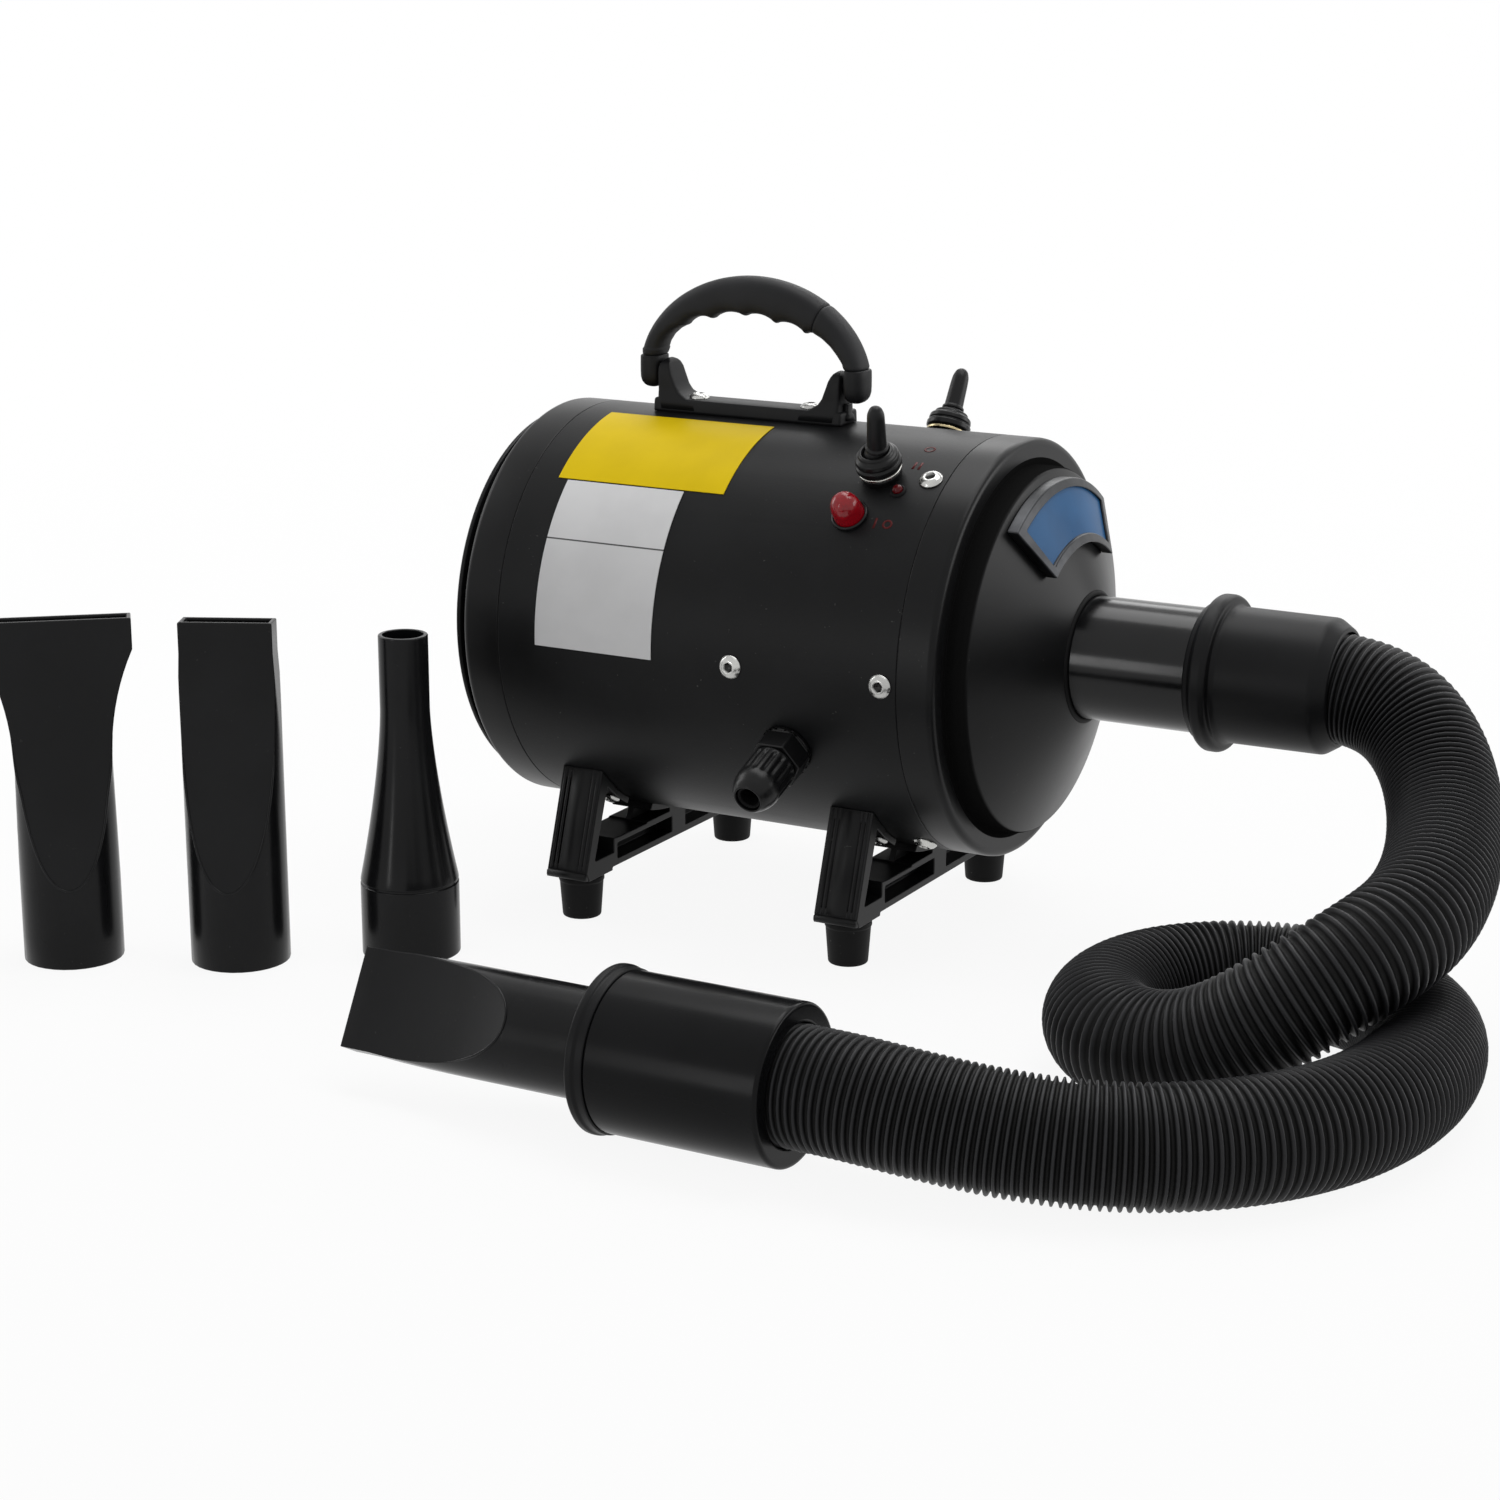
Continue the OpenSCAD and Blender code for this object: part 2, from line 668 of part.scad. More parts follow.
module outlet_tube()
    color("#2d2e30") turned([
        [duct_x1, outlet_r - outlet_wall], [duct_x1, outlet_flange_r],
        [duct_x1 + outlet_flange_t, outlet_flange_r], [duct_x1 + outlet_flange_t, outlet_r],
        [tube_end_x, outlet_r], [tube_end_x, outlet_r - outlet_wall]]);

module outlet_seal()
    color("#141415") axial_tube(tip_x - cover_wall, tip_x + 0.6, seal_r, outlet_r);

module hose_cuff()
    color("#48494d") turned(concat(
        [[cuff_x, cuff_bore_r], [cuff_x, collar_d / 2 - 3]],
        arc(cuff_x + 4, collar_d / 2 - 4, 4, 165, 90, 3),
        arc(sleeve_x - 4, collar_d / 2 - 4, 4, 90, 15, 3),
        [[sleeve_x, sleeve_r], [sleeve_x + sleeve_len, sleeve_r],
            [sleeve_end_x, hose_seat_r + 1], [sleeve_end_x, hose_seat_r],
            [hose_x0, hose_seat_r], [hose_x0, stop_r], [stop_x, stop_r], [stop_x, cuff_bore_r]]));

// Point of the hose's curve, a cubic B-spline, at u spans along its route
function spline(route, u) =
    let (n = len(route) - 1, i = min(floor(u), n - 1), t = u - i,
        before = i > 0 ? route[i - 1] : 2 * route[0] - route[1],
        after = i < n - 1 ? route[i + 2] : 2 * route[n] - route[n - 1])
    ((1 - t) ^ 3 * before + (3 * t ^ 3 - 6 * t ^ 2 + 4) * route[i]
        + (3 * t ^ 2 - 3 * t ^ 3 + 3 * t + 1) * route[i + 1] + t ^ 3 * after) / 6;
function unit(v) = v / norm(v);

// Ring of points round the hose's curve at u, square to it
function hose_ring(u, r) =
    let (n = len(hose_route) - 1, e = 0.02,
        along = unit(spline(hose_route, min(u + e, n)) - spline(hose_route, max(u - e, 0))),
        side = unit(cross([0, 0, 1], along)), up = cross(along, side))
    [for (k = [0:hose_sides - 1]) let (a = 360 * (k + 0.5) / hose_sides)
        spline(hose_route, u) + r * (cos(a) * side + sin(a) * up)];

// Two triangles for each side between ring i and ring j, whose points start at p and q
function band(p, q) = [for (k = [0:hose_sides - 1]) let (m = (k + 1) % hose_sides)
    each [[p + k, q + k, q + m], [p + k, q + m, p + m]]];

module hose() {
    spans = len(hose_route) - 1;
    outer = 2 * hose_ribs;                  // a crest and a groove for each rib
    outer_points = [for (i = [0:outer]) each hose_ring(spans * i / outer, i % 2 == 0 ? hose_r : groove_r)];
    inner_points = [for (i = [0:bore_rings]) each hose_ring(spans * (1 - i / bore_rings), hose_bore_r)];
    s = hose_sides;
    rings = outer + bore_rings + 2;
    faces = [for (i = [0:rings - 1]) each band(s * i, s * ((i + 1) % rings))];
    color("#4a4b4f") polyhedron(concat(outer_points, inner_points), faces, convexity = 12);
    far_apart = 5;                          // spans between two points that may come near
    steps = 6;                              // points measured on each span
    middle = [for (i = [0:steps * spans]) spline(hose_route, i / steps)];
    gap = min([for (i = [0:len(middle) - 1], j = [0:len(middle) - 1])
        if (j - i > steps * far_apart) norm(middle[i] - middle[j]) - hose_d]);
    echo(hose_length = hose_length(spans * 10), least_gap_to_itself = gap);
}
function hose_length(steps, i = 0, sum = 0) =
    let (spans = len(hose_route) - 1)
    i == steps ? sum : hose_length(steps, i + 1, sum
        + norm(spline(hose_route, spans * (i + 1) / steps) - spline(hose_route, spans * i / steps)));

// Turned shape on the far cuff's axis, from a profile of [x, radius] points
module far_turned(profile)
    on_far_axis(0) rotate_extrude() polygon([for (p = profile) [p[1], p[0]]]);

module far_cuff()
    color("#303134") far_turned([
        [ring_x, far_bore_r], [ring_x, far_r], [far_end_x - 1.5, far_r], [far_end_x, far_r - 1.5],
        [far_end_x, hose_seat_r], [hose_x1, hose_seat_r], [hose_x1, stop_r], [far_stop_x, stop_r],
        [far_stop_x, far_bore_r]]);

module clamp_ring()
    color("#3a3b3e") far_turned([
        [mouth_x, far_bore_r], [mouth_x, ring_d / 2 - 1], [mouth_x + 1, ring_d / 2],
        [ring_x - 1, ring_d / 2], [ring_x, ring_d / 2 - 1], [ring_x, far_bore_r]]);

module nozzle_bush()
    color("#1d1d1f") far_turned([
        [mouth_x + bush_depth, nozzle_seat_r], [mouth_x + bush_depth, far_bore_r],
        [far_stop_x, far_bore_r], [far_stop_x, nozzle_seat_r]]);

// ---- nozzles ----

// Half the width of a flat nozzle at height z
function flat_half(z, neck, mouth) =
    let (mouth_z = nozzle_len - mouth_len)
    z <= neck_z ? nozzle_r + (neck / 2 - nozzle_r) * max(0, (z - scoop_z) / (neck_z - scoop_z))
        : neck / 2 + (mouth - neck) / 2 * min(1, (z - neck_z) / (mouth_z - neck_z)) ^ 2.2;

face_steps = 8;                             // straight pieces that a nozzle's curved face is made of

// Depth of a flat nozzle's face in front of its axis at height z
function face_depth(z, scoop) =
    mouth_t / 2 + (nozzle_r - mouth_t / 2)
        * (1 - min(1, (z - scoop) / (nozzle_len - mouth_len - scoop))) ^ 1.9;

// A flat nozzle's outer form, or its hollow when inset is the wall
module flat_form(neck, mouth, scoop, inset, past) {
    half = [for (z = [scoop_z, neck_z, each [for (k = [1:8]) neck_z
        + (nozzle_len - mouth_len - neck_z) * k / 8], nozzle_len + past])
        [flat_half(z, neck, mouth) - inset, z]];
    face = [for (z = [each [for (k = [0:face_steps]) scoop
        + (nozzle_len - mouth_len - scoop) * k / face_steps], nozzle_len + past])
        [face_depth(z, scoop) - inset, z]];
    intersection() {
        union() {
            translate([0, 0, -past]) cylinder(r = nozzle_r - inset, h = nozzle_len + 2 * past);
            if (mouth > nozzle_d)
                translate([-mouth, -nozzle_r, neck_z]) cube([2 * mouth, nozzle_d, nozzle_len]);
        }
        rotate([90, 0, 0]) linear_extrude(2 * nozzle_d, center = true)
            polygon(concat([[nozzle_r - inset, -past]], half,
                [for (k = [len(half) - 1:-1:0]) [-half[k][0], half[k][1]]],
                [[inset - nozzle_r, -past]]));
        rotate([90, 0, 90]) linear_extrude(4 * mouth, center = true)
            polygon(concat([[nozzle_r - inset, -past]], face,
                [for (k = [len(face) - 1:-1:0]) [-face[k][0], face[k][1]]],
                [[inset - nozzle_r, -past]]));
    }
}

module flat_nozzle(neck, mouth, scoop = scoop_z)
    difference() {
        flat_form(neck, mouth, scoop, 0, 0);
        flat_form(neck, mouth, scoop, nozzle_wall, cut);
    }

// Radius of the round nozzle at height z: a tube up to the seam, then a hollow flare
function round_half(z) =
    z <= seam_z ? nozzle_r
        : tip_d / 2 + (nozzle_r - 0.2 - tip_d / 2) * max(0, (flare_z - z) / (flare_z - seam_z)) ^ 1.5;

module round_form(inset, past)
    rotate_extrude() polygon(concat([[0, -past], [nozzle_r - inset, -past], [nozzle_r - inset, seam_z]],
        [for (k = [1:10]) let (z = seam_z + (flare_z - seam_z) * k / 10) [round_half(z) - inset, z]],
        [[tip_d / 2 - inset, round_len + past], [0, round_len + past]]));

// Where the three loose nozzles stand, and the turn of their mouths
wide_at = [-223, -216, 0];
narrow_at = [-160, -185, 0];
round_at = [-103.5, -142.5, 0];
wide_turn = 40;
narrow_turn = 26;

module nozzle_wide()
    color("#2b2c2f") translate(wide_at) rotate([0, 0, wide_turn]) flat_nozzle(wide_neck, wide_w);
module nozzle_narrow()
    color("#2b2c2f") translate(narrow_at) rotate([0, 0, narrow_turn]) flat_nozzle(nozzle_d, narrow_w);
module nozzle_round()
    color("#2b2c2f") translate(round_at) difference() {
        round_form(0, 0);
        round_form(nozzle_wall, cut);
    }
module fitted_nozzle()
    color("#2b2c2f") translate([nozzle_end_x, far_y, far_z])
        rotate([-fitted_tilt, 0, 0]) rotate([0, -90, 0])
            flat_nozzle(nozzle_d, narrow_w, fitted_scoop_z);

// ---- handle ----

function base_screw_xs() = [handle_x - base_screw_pitch / 2, handle_x + base_screw_pitch / 2];

// Children drawn in the (X, Z) plane, made as wide as w across the blower
module across(w)
    rotate([90, 0, 0]) linear_extrude(w, center = true) children();

// The arch of the handle: half an ellipse over the hinge, hollow inside
module handle_arch()
    difference() {
        across(handle_w) polygon(concat(
            [for (k = [0:36]) [handle_x + handle_a * cos(5 * k), hinge_z + handle_rise * sin(5 * k)]],
            [for (k = [36:-1:0]) [handle_x + handle_in_a * cos(5 * k), hinge_z + handle_in_b * sin(5 * k)]]));
        // the posts' room: the handle turns about the hinge without touching them
        translate([post_x0 - cap_gap, 0, hinge_z]) rotate([0, 90, 0])
            cylinder(r = norm([post_r, cap_r]) + cap_gap, h = post_x1 - post_x0 + 2 * cap_gap);
        translate([handle_x - handle_len, -handle_w, hinge_z - cut])
            cube([2 * handle_len, 2 * handle_w, joint_z - hinge_z + cut]);
    }

// Everything on the elbow's side of the slanted joint line
module elbow_side(gap)
    translate([elbow_x + gap, -handle_w, hinge_z + handle_rise]) rotate([0, elbow_slant, 0])
        translate([0, 0, -2 * handle_rise]) cube([handle_len, 2 * handle_w, 3 * handle_rise]);

module handle_grip()
    color("#3b3c3f") difference() {
        handle_arch();
        elbow_side(0);
        for (k = [0:finger_grooves - 1])
            let (a = 66 + 48 * (finger_grooves - 1 - k) / (finger_grooves - 1))
            translate([handle_x + (handle_in_a - 1) * cos(a), 0, hinge_z + (handle_in_b - 4.2) * sin(a)])
                rotate([90, 0, 0]) cylinder(r = 6.5, h = 2 * handle_w, center = true);
    }

module handle_elbow()
    color("#35363a") intersection() {
        handle_arch();
        elbow_side(0);
    }

// Two caps that carry the arch's ends on the hinge pins
module handle_caps()
    color("#2f3033") for (x = [handle_x - handle_a, post_x1 + cap_gap])
        difference() {
            union() {
                translate([x, 0, hinge_z]) rotate([0, 90, 0]) cylinder(r = cap_r, h = cap_len);
                translate([x, -cap_r, hinge_z]) cube([cap_len, handle_w, cap_top - hinge_z]);
            }
            translate([x - cut, 0, hinge_z]) rotate([0, 90, 0])
                cylinder(d = pin_d, h = cap_len + 2 * cut);
        }

// Pins pressed into the caps; they turn in the posts
module hinge_pins()
    color("silver") {
        translate([handle_x - handle_a, 0, hinge_z]) rotate([0, 90, 0])
            cylinder(d = pin_d, h = cap_len + cap_gap + post_t);
        translate([post_x1 - post_t, 0, hinge_z]) rotate([0, 90, 0])
            cylinder(d = pin_d, h = cap_len + cap_gap + post_t);
    }

pin_fit = 0.1;
module handle_base()
    color("#303134") difference() {
        union() {
            translate([base_x0, -base_w / 2, base_top - base_t - 3])
                cube([base_x1 - base_x0, base_w, base_t + 3]);
            for (x = [post_x0, post_x1 - post_t]) {
                translate([x, 0, hinge_z]) rotate([0, 90, 0]) cylinder(r = post_r, h = post_t);
                translate([x, -post_r, base_top - cut]) cube([post_t, 2 * post_r, hinge_z - base_top + cut]);
            }
        }
        translate([base_x0 - cut, 0, axis_height]) rotate([0, 90, 0])
            cylinder(r = shell_r, h = base_x1 - base_x0 + 2 * cut);
        translate([base_x0 - cut, 0, hinge_z]) rotate([0, 90, 0])
            cylinder(d = pin_d + 2 * pin_fit, h = base_x1 - base_x0 + 2 * cut);
        for (x = base_screw_xs())
            translate([x, 0, base_top - base_t - 4]) cylinder(d = shank_d - 1, h = base_t + 5);
    }

module base_screws()
    color("silver") for (x = base_screw_xs())
        translate([x, 0, base_top]) button_screw(shank_d - 1, base_t + shell_wall + 6, base_head_d);

// ---- switches and lamp ----

module at_switches() {
    on_shell(near_switch_x, near_switch_angle) children();
    on_shell(far_switch_x, far_switch_angle) children();
}

module switch_bodies()
    color("#202124") at_switches() difference() {
        union() {
            translate([-switch_box[0] / 2, -switch_box[1] / 2, bore_r - 2 - switch_box[2]])
                cube(switch_box);
            translate([0, 0, bore_r - 3]) cylinder(r = bushing_r, h = bushing_top - bore_r + 3);
        }
        translate([0, 0, pivot_r]) sphere(r = ball_r + ball_fit);
        translate([0, 0, pivot_r - 10]) cylinder(r = 3.7, h = 10);
    }

module switch_collars()
    color("#1b1b1d") at_switches()
        translate([0, 0, shell_r]) difference() {
            cylinder(r = collar_r, h = collar_h);
            translate([0, 0, -cut]) cylinder(r = bushing_r, h = collar_h + 2 * cut);
        }

module switch_washers()
    color("#c9c7bd") at_switches()
        translate([0, 0, collar_top]) difference() {
            cylinder(r = washer_r, h = washer_t);
            translate([0, 0, -cut]) cylinder(r = bushing_r, h = washer_t + 2 * cut);
        }

module boot_nuts()
    color("#161618") at_switches()
        translate([0, 0, washer_top]) difference() {
            intersection() {
                cylinder(r = hex_r(nut_af), h = nut_h, $fn = 6);
                cylinder(r1 = nut_af * 0.75, r2 = nut_af / 2, h = nut_h);
            }
            translate([0, 0, -cut]) cylinder(r = bushing_r, h = nut_h + 2 * cut);
            translate([0, 0, nut_h - 2.4]) cylinder(r1 = bushing_r, r2 = bushing_r + 1.6, h = 2.4 + cut);
        }

// Lever with its rubber boot, tilted about the ball
module lever(tilt)
    translate([0, 0, pivot_r]) rotate([0, tilt, 0]) {
        rotate_extrude() polygon(concat(
            [[0, -ball_r - 3], [lever_stem_r, -ball_r - 3], [lever_stem_r, -ball_r * 0.9]],
            [for (k = [2:8]) let (a = -90 + 90 * k / 8) [ball_r * cos(a), ball_r * sin(a)]],
            [[ball_r * 0.95, 3], [lever_tip_d / 2 + 0.5, 6], [lever_tip_d / 2, lever_len * 0.55],
                [lever_tip_d / 2, lever_len - 2.4]],
            [for (k = [1:4]) let (a = 90 * k / 4)
                [lever_tip_d / 2 * cos(a), lever_len - 2.4 + 2.4 * sin(a)]]));
    }

module lever_near()
    color("#202124") on_shell(near_switch_x, near_switch_angle) lever(near_throw);
module lever_far()
    color("#202124") on_shell(far_switch_x, far_switch_angle) lever(0);

module lamp_body()
    color("#1a1a1c") on_shell(lamp_x, lamp_angle) {
        translate([0, 0, shell_r]) difference() {
            cylinder(d = bezel_d, h = 2);
            translate([0, 0, 0.8]) cylinder(d = lens_d, h = 2);
            translate([0, 0, -cut]) cylinder(d = lens_d - 4, h = 2);
        }
        translate([0, 0, bore_r - 22]) difference() {
            cylinder(d = lens_d - 2, h = 22 + shell_wall);
            translate([0, 0, 3]) cylinder(d = lens_d - 4, h = 20 + shell_wall);
        }
    }

module lamp_lens()
    color("#c01818") on_shell(lamp_x, lamp_angle) translate([0, 0, shell_r + 0.8])
        rotate_extrude() polygon(concat([[0, 0], [lens_d / 2, 0], [lens_d / 2, 1.6]],
            [for (k = [1:6]) let (a = 90 * k / 6) [(lens_d / 2 - 0.2) * cos(a),
                1.6 + (lens_h - 2.4) * sin(a)]]));

// Button screws: six in the front cover's spigot and two in the motor mount
module shell_screws()
    color("silver") {
        for (a = cover_screw_angles)
            on_shell(screw_ring_x, a) translate([0, 0, shell_r])
                button_screw(shank_d, shell_r - spigot_in_r + 2, head_d);
        for (a = [-90, 90])
            on_shell(mount_x, a) translate([0, 0, shell_r]) button_screw(shank_d, 12, head_d);
    }

// ---- cable gland ----

module gland_body()
    color("#222326") on_shell(gland_x, gland_angle) difference() {
        union() {
            translate([0, 0, shell_r]) cylinder(d = gland_af + 2, h = gland_washer_t);
            translate([0, 0, gland_hex_z]) cylinder(r = hex_r(gland_af), h = gland_hex_h, $fn = 6);
            translate([0, 0, bore_r - gland_nut_t - 2])
                cylinder(d = gland_thread_d, h = gland_cap_z - bore_r + gland_nut_t + 2);
            translate([0, 0, gland_cap_z]) cylinder(d = gland_thread_d - 1, h = gland_cap_h * 0.4);
        }
        translate([0, 0, bore_r - gland_nut_t - 3])
            cylinder(r = gland_bore_r, h = gland_cap_z + gland_cap_h - bore_r);
    }

module gland_cap()
    color("#26272a") on_shell(gland_x, gland_angle) translate([0, 0, gland_cap_z])
        rotate_extrude() polygon([
            [gland_thread_d / 2 - 0.5, 0], [gland_cap_d / 2, 0], [gland_cap_d / 2, gland_cap_h * 0.62],
            [gland_cap_d * 0.46, gland_cap_h * 0.82], [gland_cap_d * 0.36, gland_cap_h * 0.96],
            [gland_cap_d * 0.3, gland_cap_h], [gland_bore_r, gland_cap_h],
            [gland_bore_r, gland_cap_h * 0.4], [gland_thread_d / 2 - 0.5, gland_cap_h * 0.4]]);

// Rubber sleeve that grips the mains cable
module gland_seal()
    color("#101011") on_shell(gland_x, gland_angle)
        translate([0, 0, gland_cap_z + gland_cap_h * 0.4]) difference() {
            cylinder(r = gland_bore_r, h = gland_cap_h * 0.6 - 1);
            translate([0, 0, -cut]) cylinder(d = cable_hole_d, h = gland_cap_h);
        }

module gland_locknut()
    color("#303134") on_shell(gland_x, gland_angle)
        translate([0, 0, bore_r - gland_nut_t - 1]) difference() {
            cylinder(r = hex_r(gland_af), h = gland_nut_t, $fn = 6);
            translate([0, 0, -cut]) cylinder(d = gland_thread_d, h = gland_nut_t + 2 * cut);
        }

// ---- legs ----

leg_plate_t = 7;                            // depth of a leg's outer plate
foot_block_z = foot_h + foot_pad_h + 3;     // top of the solid block above a foot's screw

// Outline of one bracket's near half in the (Y, Z) plane; the shell's form is cut out of it
leg_outline = [
    [0, bar_z], [foot_y - foot_top_r, bar_z], [foot_y - foot_top_r, foot_h], [foot_y + foot_top_r, foot_h],
    [post_foot_y, foot_h + 4], [leg_top_y, leg_top_z], [leg_in_y, leg_top_z],
    [foot_y - foot_top_r + 1, bar_top], [leg_in_y, bar_top - 0.5], [saddle_y + 5, bar_top - 0.5],
    [saddle_y, axis_height - shell_r * 0.96],
    [saddle_y, axis_height - shell_r * 0.9], [0, axis_height - shell_r * 0.9],
];

module leg_profile()
    for (side = [-1, 1]) polygon([for (p = leg_outline) [side * p[0], p[1]]]);

// What is taken from a bracket's two broad faces: a thin web stays between the bar's flanges, behind
// each leg's outer plate and above the bar; a rim that follows the shell keeps its full width
module leg_pockets()
    difference() {
        for (side = [-1, 1]) {
            polygon([for (p = [[6, bar_z + flange_t], [foot_y - foot_top_r - 4, bar_z + flange_t],
                [foot_y - foot_top_r - 4, bar_top - flange_t], [6, bar_top - flange_t]]) [side * p[0], p[1]]]);
            polygon([for (p = [[8, bar_top], [foot_y - foot_top_r - 1, bar_top],
                [foot_y - foot_top_r - 1, foot_block_z], [post_foot_y - leg_plate_t, foot_block_z],
                [2 * leg_top_y - post_foot_y - leg_plate_t, 2 * leg_top_z - foot_block_z],
                [8, 2 * leg_top_z - foot_block_z]]) [side * p[0], p[1]]]);
        }
        translate([0, axis_height]) circle(r = shell_r + lug_t + 0.3);
    }

module leg_bracket(x)
    color("#3a3b3e") translate([x, 0, 0]) difference() {
        union() {
            rotate([90, 0, 90]) linear_extrude(leg_w, center = true) leg_profile();
            for (side = [-1, 1])
                sector(lug_inset - leg_w / 2, leg_w / 2 - lug_inset, shell_r - cut, shell_r + lug_t,
                    side > 0 ? 136 : -152, side > 0 ? 152 : -136);
        }
        for (end = [-1, 1])
            translate([end * (web_t / 2 + leg_w / 2), 0, 0])
                rotate([90, 0, 90]) linear_extrude(leg_w, center = true) leg_pockets();
        translate([-leg_w, 0, axis_height]) rotate([0, 90, 0]) cylinder(r = shell_r, h = 2 * leg_w);
        // two grooves down the outer face of each leg
        for (side = [-1, 1], gx = [-4.6, 4.6])
            translate([gx - 3, 0, 0]) rotate([90, 0, 90]) linear_extrude(6)
                polygon([for (p = [[post_foot_y - 2.4, foot_h + 7], [post_foot_y + 9, foot_h + 7],
                    [leg_top_y + 9, leg_top_z - 5], [leg_top_y - 2.4, leg_top_z - 5]])
                    [side * p[0], p[1]]]);
        for (side = [-1, 1]) {
            translate([5, 0, axis_height]) rotate([-side * lug_angle, 0, 0])
                translate([0, 0, shell_r - cut]) cylinder(d = shank_d - 1, h = lug_t + 2 * cut);
            translate([0, side * foot_y, foot_h - cut]) cylinder(r = foot_screw_r, h = foot_pad_h + cut);
        }
    }

module leg_bracket_rear() leg_bracket(-rear_leg_x);
module leg_bracket_front() leg_bracket(front_leg_x);

module at_feet()
    for (x = [-rear_leg_x, front_leg_x], side = [-1, 1]) translate([x, side * foot_y, 0]) children();

module feet()
    color("#232427") at_feet() difference() {
        cylinder(r1 = foot_base_r, r2 = foot_top_r, h = foot_h);
        translate([0, 0, -cut]) cylinder(r = foot_head_r + 0.4, h = 4 + cut);
        translate([0, 0, -cut]) cylinder(r = foot_screw_r, h = foot_h + 2 * cut);
    }

module foot_screws()
    color("silver") at_feet() {
        translate([0, 0, 1.6]) cylinder(r = foot_head_r, h = 2.4);
        translate([0, 0, 3]) cylinder(r = foot_screw_r, h = foot_h + foot_pad_h - 3);
    }

module bracket_screws()
    color("silver") for (x = [-rear_leg_x, front_leg_x], side = [-1, 1])
        on_shell(x + 5, side * lug_angle) translate([0, 0, shell_r + lug_t])
            button_screw(shank_d - 1, lug_t + shell_wall + 4, 8);

// ---- labels ----

glue_t = 0.05;
rating_top = caution_top + caution_span + 0.5;
module label(x, length, top, span)
    sector(x, x + length, shell_r + glue_t, shell_r + glue_t + label_t, -top - span, -top);
module caution_label()
    color("#f2dc2c") label(caution_x, caution_len, caution_top, caution_span);
module rating_label()
    color("#c9ccd0") label(rating_x, rating_len, rating_top, rating_span);

// ---- motor and fan ----

// Can with an inlet at the rear, a diffuser between the impellers and vents to the motor
module fan_housing()
    color("#b4b7ba") difference() {
        turned([
            [fan_x0, fan_inlet_r], [fan_x0, fan_r], [motor_x, fan_r], [motor_x, bearing_r + 1],
            [motor_x - housing_wall, bearing_r + 1], [motor_x - housing_wall, fan_r - housing_wall],
            [diffuser_x + housing_wall / 2, fan_r - housing_wall], [diffuser_x + housing_wall / 2, fan_inlet_r],
            [diffuser_x - housing_wall / 2, fan_inlet_r], [diffuser_x - housing_wall / 2, fan_r - housing_wall],
            [fan_x0 + housing_wall, fan_r - housing_wall], [fan_x0 + housing_wall, fan_inlet_r]]);
        for (k = [0:5])
            sector(motor_x - 2 * housing_wall, motor_x + cut, bearing_r + 6, motor_r - 5, 60 * k + 8, 60 * k + 52);
    }

// Rubber ring that holds the fan housing in the shell
module fan_cushion()
    color("#1a1a1b") axial_tube(motor_x - mount_len, motor_x, seat_r, fan_r + seat_gap / 2);

module impeller(x)
    translate([x, 0, axis_height]) rotate([0, 90, 0]) difference() {
        union() {
            cylinder(r = shaft_r + 5, h = impeller_len);
            cylinder(d = impeller_d, h = 1.2);
            difference() {
                translate([0, 0, impeller_len - 1.2]) cylinder(d = impeller_d, h = 1.2);
                translate([0, 0, impeller_len - 2]) cylinder(r = fan_inlet_r - 2, h = 3);
            }
            for (k = [0:blades - 1])
                rotate([0, 0, 360 * k / blades]) translate([shaft_r + 4, -1, 0.5]) rotate([0, 0, -18])
                    cube([impeller_d / 2 - shaft_r - 8, 1.2, impeller_len - 1]);
        }
        translate([0, 0, -cut]) cylinder(r = shaft_r, h = impeller_len + 2 * cut);
    }

module impellers()
    color("#c4c7ca") {
        impeller((fan_x0 + housing_wall + diffuser_x - housing_wall / 2 - impeller_len) / 2);
        impeller((diffuser_x + housing_wall / 2 + motor_x - housing_wall - impeller_len) / 2);
    }

module motor_housing()
    color("#9a9da1") difference() {
        turned([
            [motor_x, bearing_r], [motor_x, motor_r], [motor_x1, motor_r], [motor_x1, bearing_r],
            [motor_x1 - bearing_w, bearing_r], [motor_x1 - bearing_w, bearing_r + 2],
            [motor_x1 - housing_wall, bearing_r + 2], [motor_x1 - housing_wall, motor_r - housing_wall],
            [motor_x + housing_wall, motor_r - housing_wall], [motor_x + housing_wall, bearing_r + 2],
            [motor_x + bearing_w, bearing_r + 2], [motor_x + bearing_w, bearing_r]]);
        for (k = [0:5], x = [motor_x, motor_x1 - housing_wall])
            sector(x - cut / 2, x + housing_wall + cut / 2, bearing_r + 6, motor_r - 5, 60 * k + 8, 60 * k + 52);
    }

// Ring that carries the motor in the shell, with air holes; the motor screws end in it
module motor_mount()
    color("#2c2d30") difference() {
        axial_tube(mount_x - mount_len / 2, mount_x + mount_len / 2, seat_r, motor_r + seat_gap / 2);
        for (k = [0:5])
            on_shell(mount_x, 30 + 60 * k - 30)
                translate([0, 0, (seat_r + motor_r) / 2]) rotate([0, 90, 0])
                    cylinder(r = 12, h = mount_len + 2 * cut, center = true);
        for (a = [-90, 90])
            on_shell(mount_x, a) translate([0, 0, shell_r - 12]) cylinder(d = shank_d, h = 20);
    }

module stator()
    color("#7c7f83") axial_tube(core_x, core_x + core_len, motor_r - housing_wall - seat_gap / 2, stator_in_r);

module rotor_core()
    color("#a8682c") turned([
        [core_x, shaft_r], [core_x, rotor_r], [core_x + core_len, rotor_r],
        [core_x + core_len, commutator_r], [core_x + core_len + commutator_len, commutator_r],
        [core_x + core_len + commutator_len, shaft_r]]);

module motor_shaft()
    color("silver") axial_tube(fan_x0 - 4, motor_x1 + 1, shaft_r, 0);

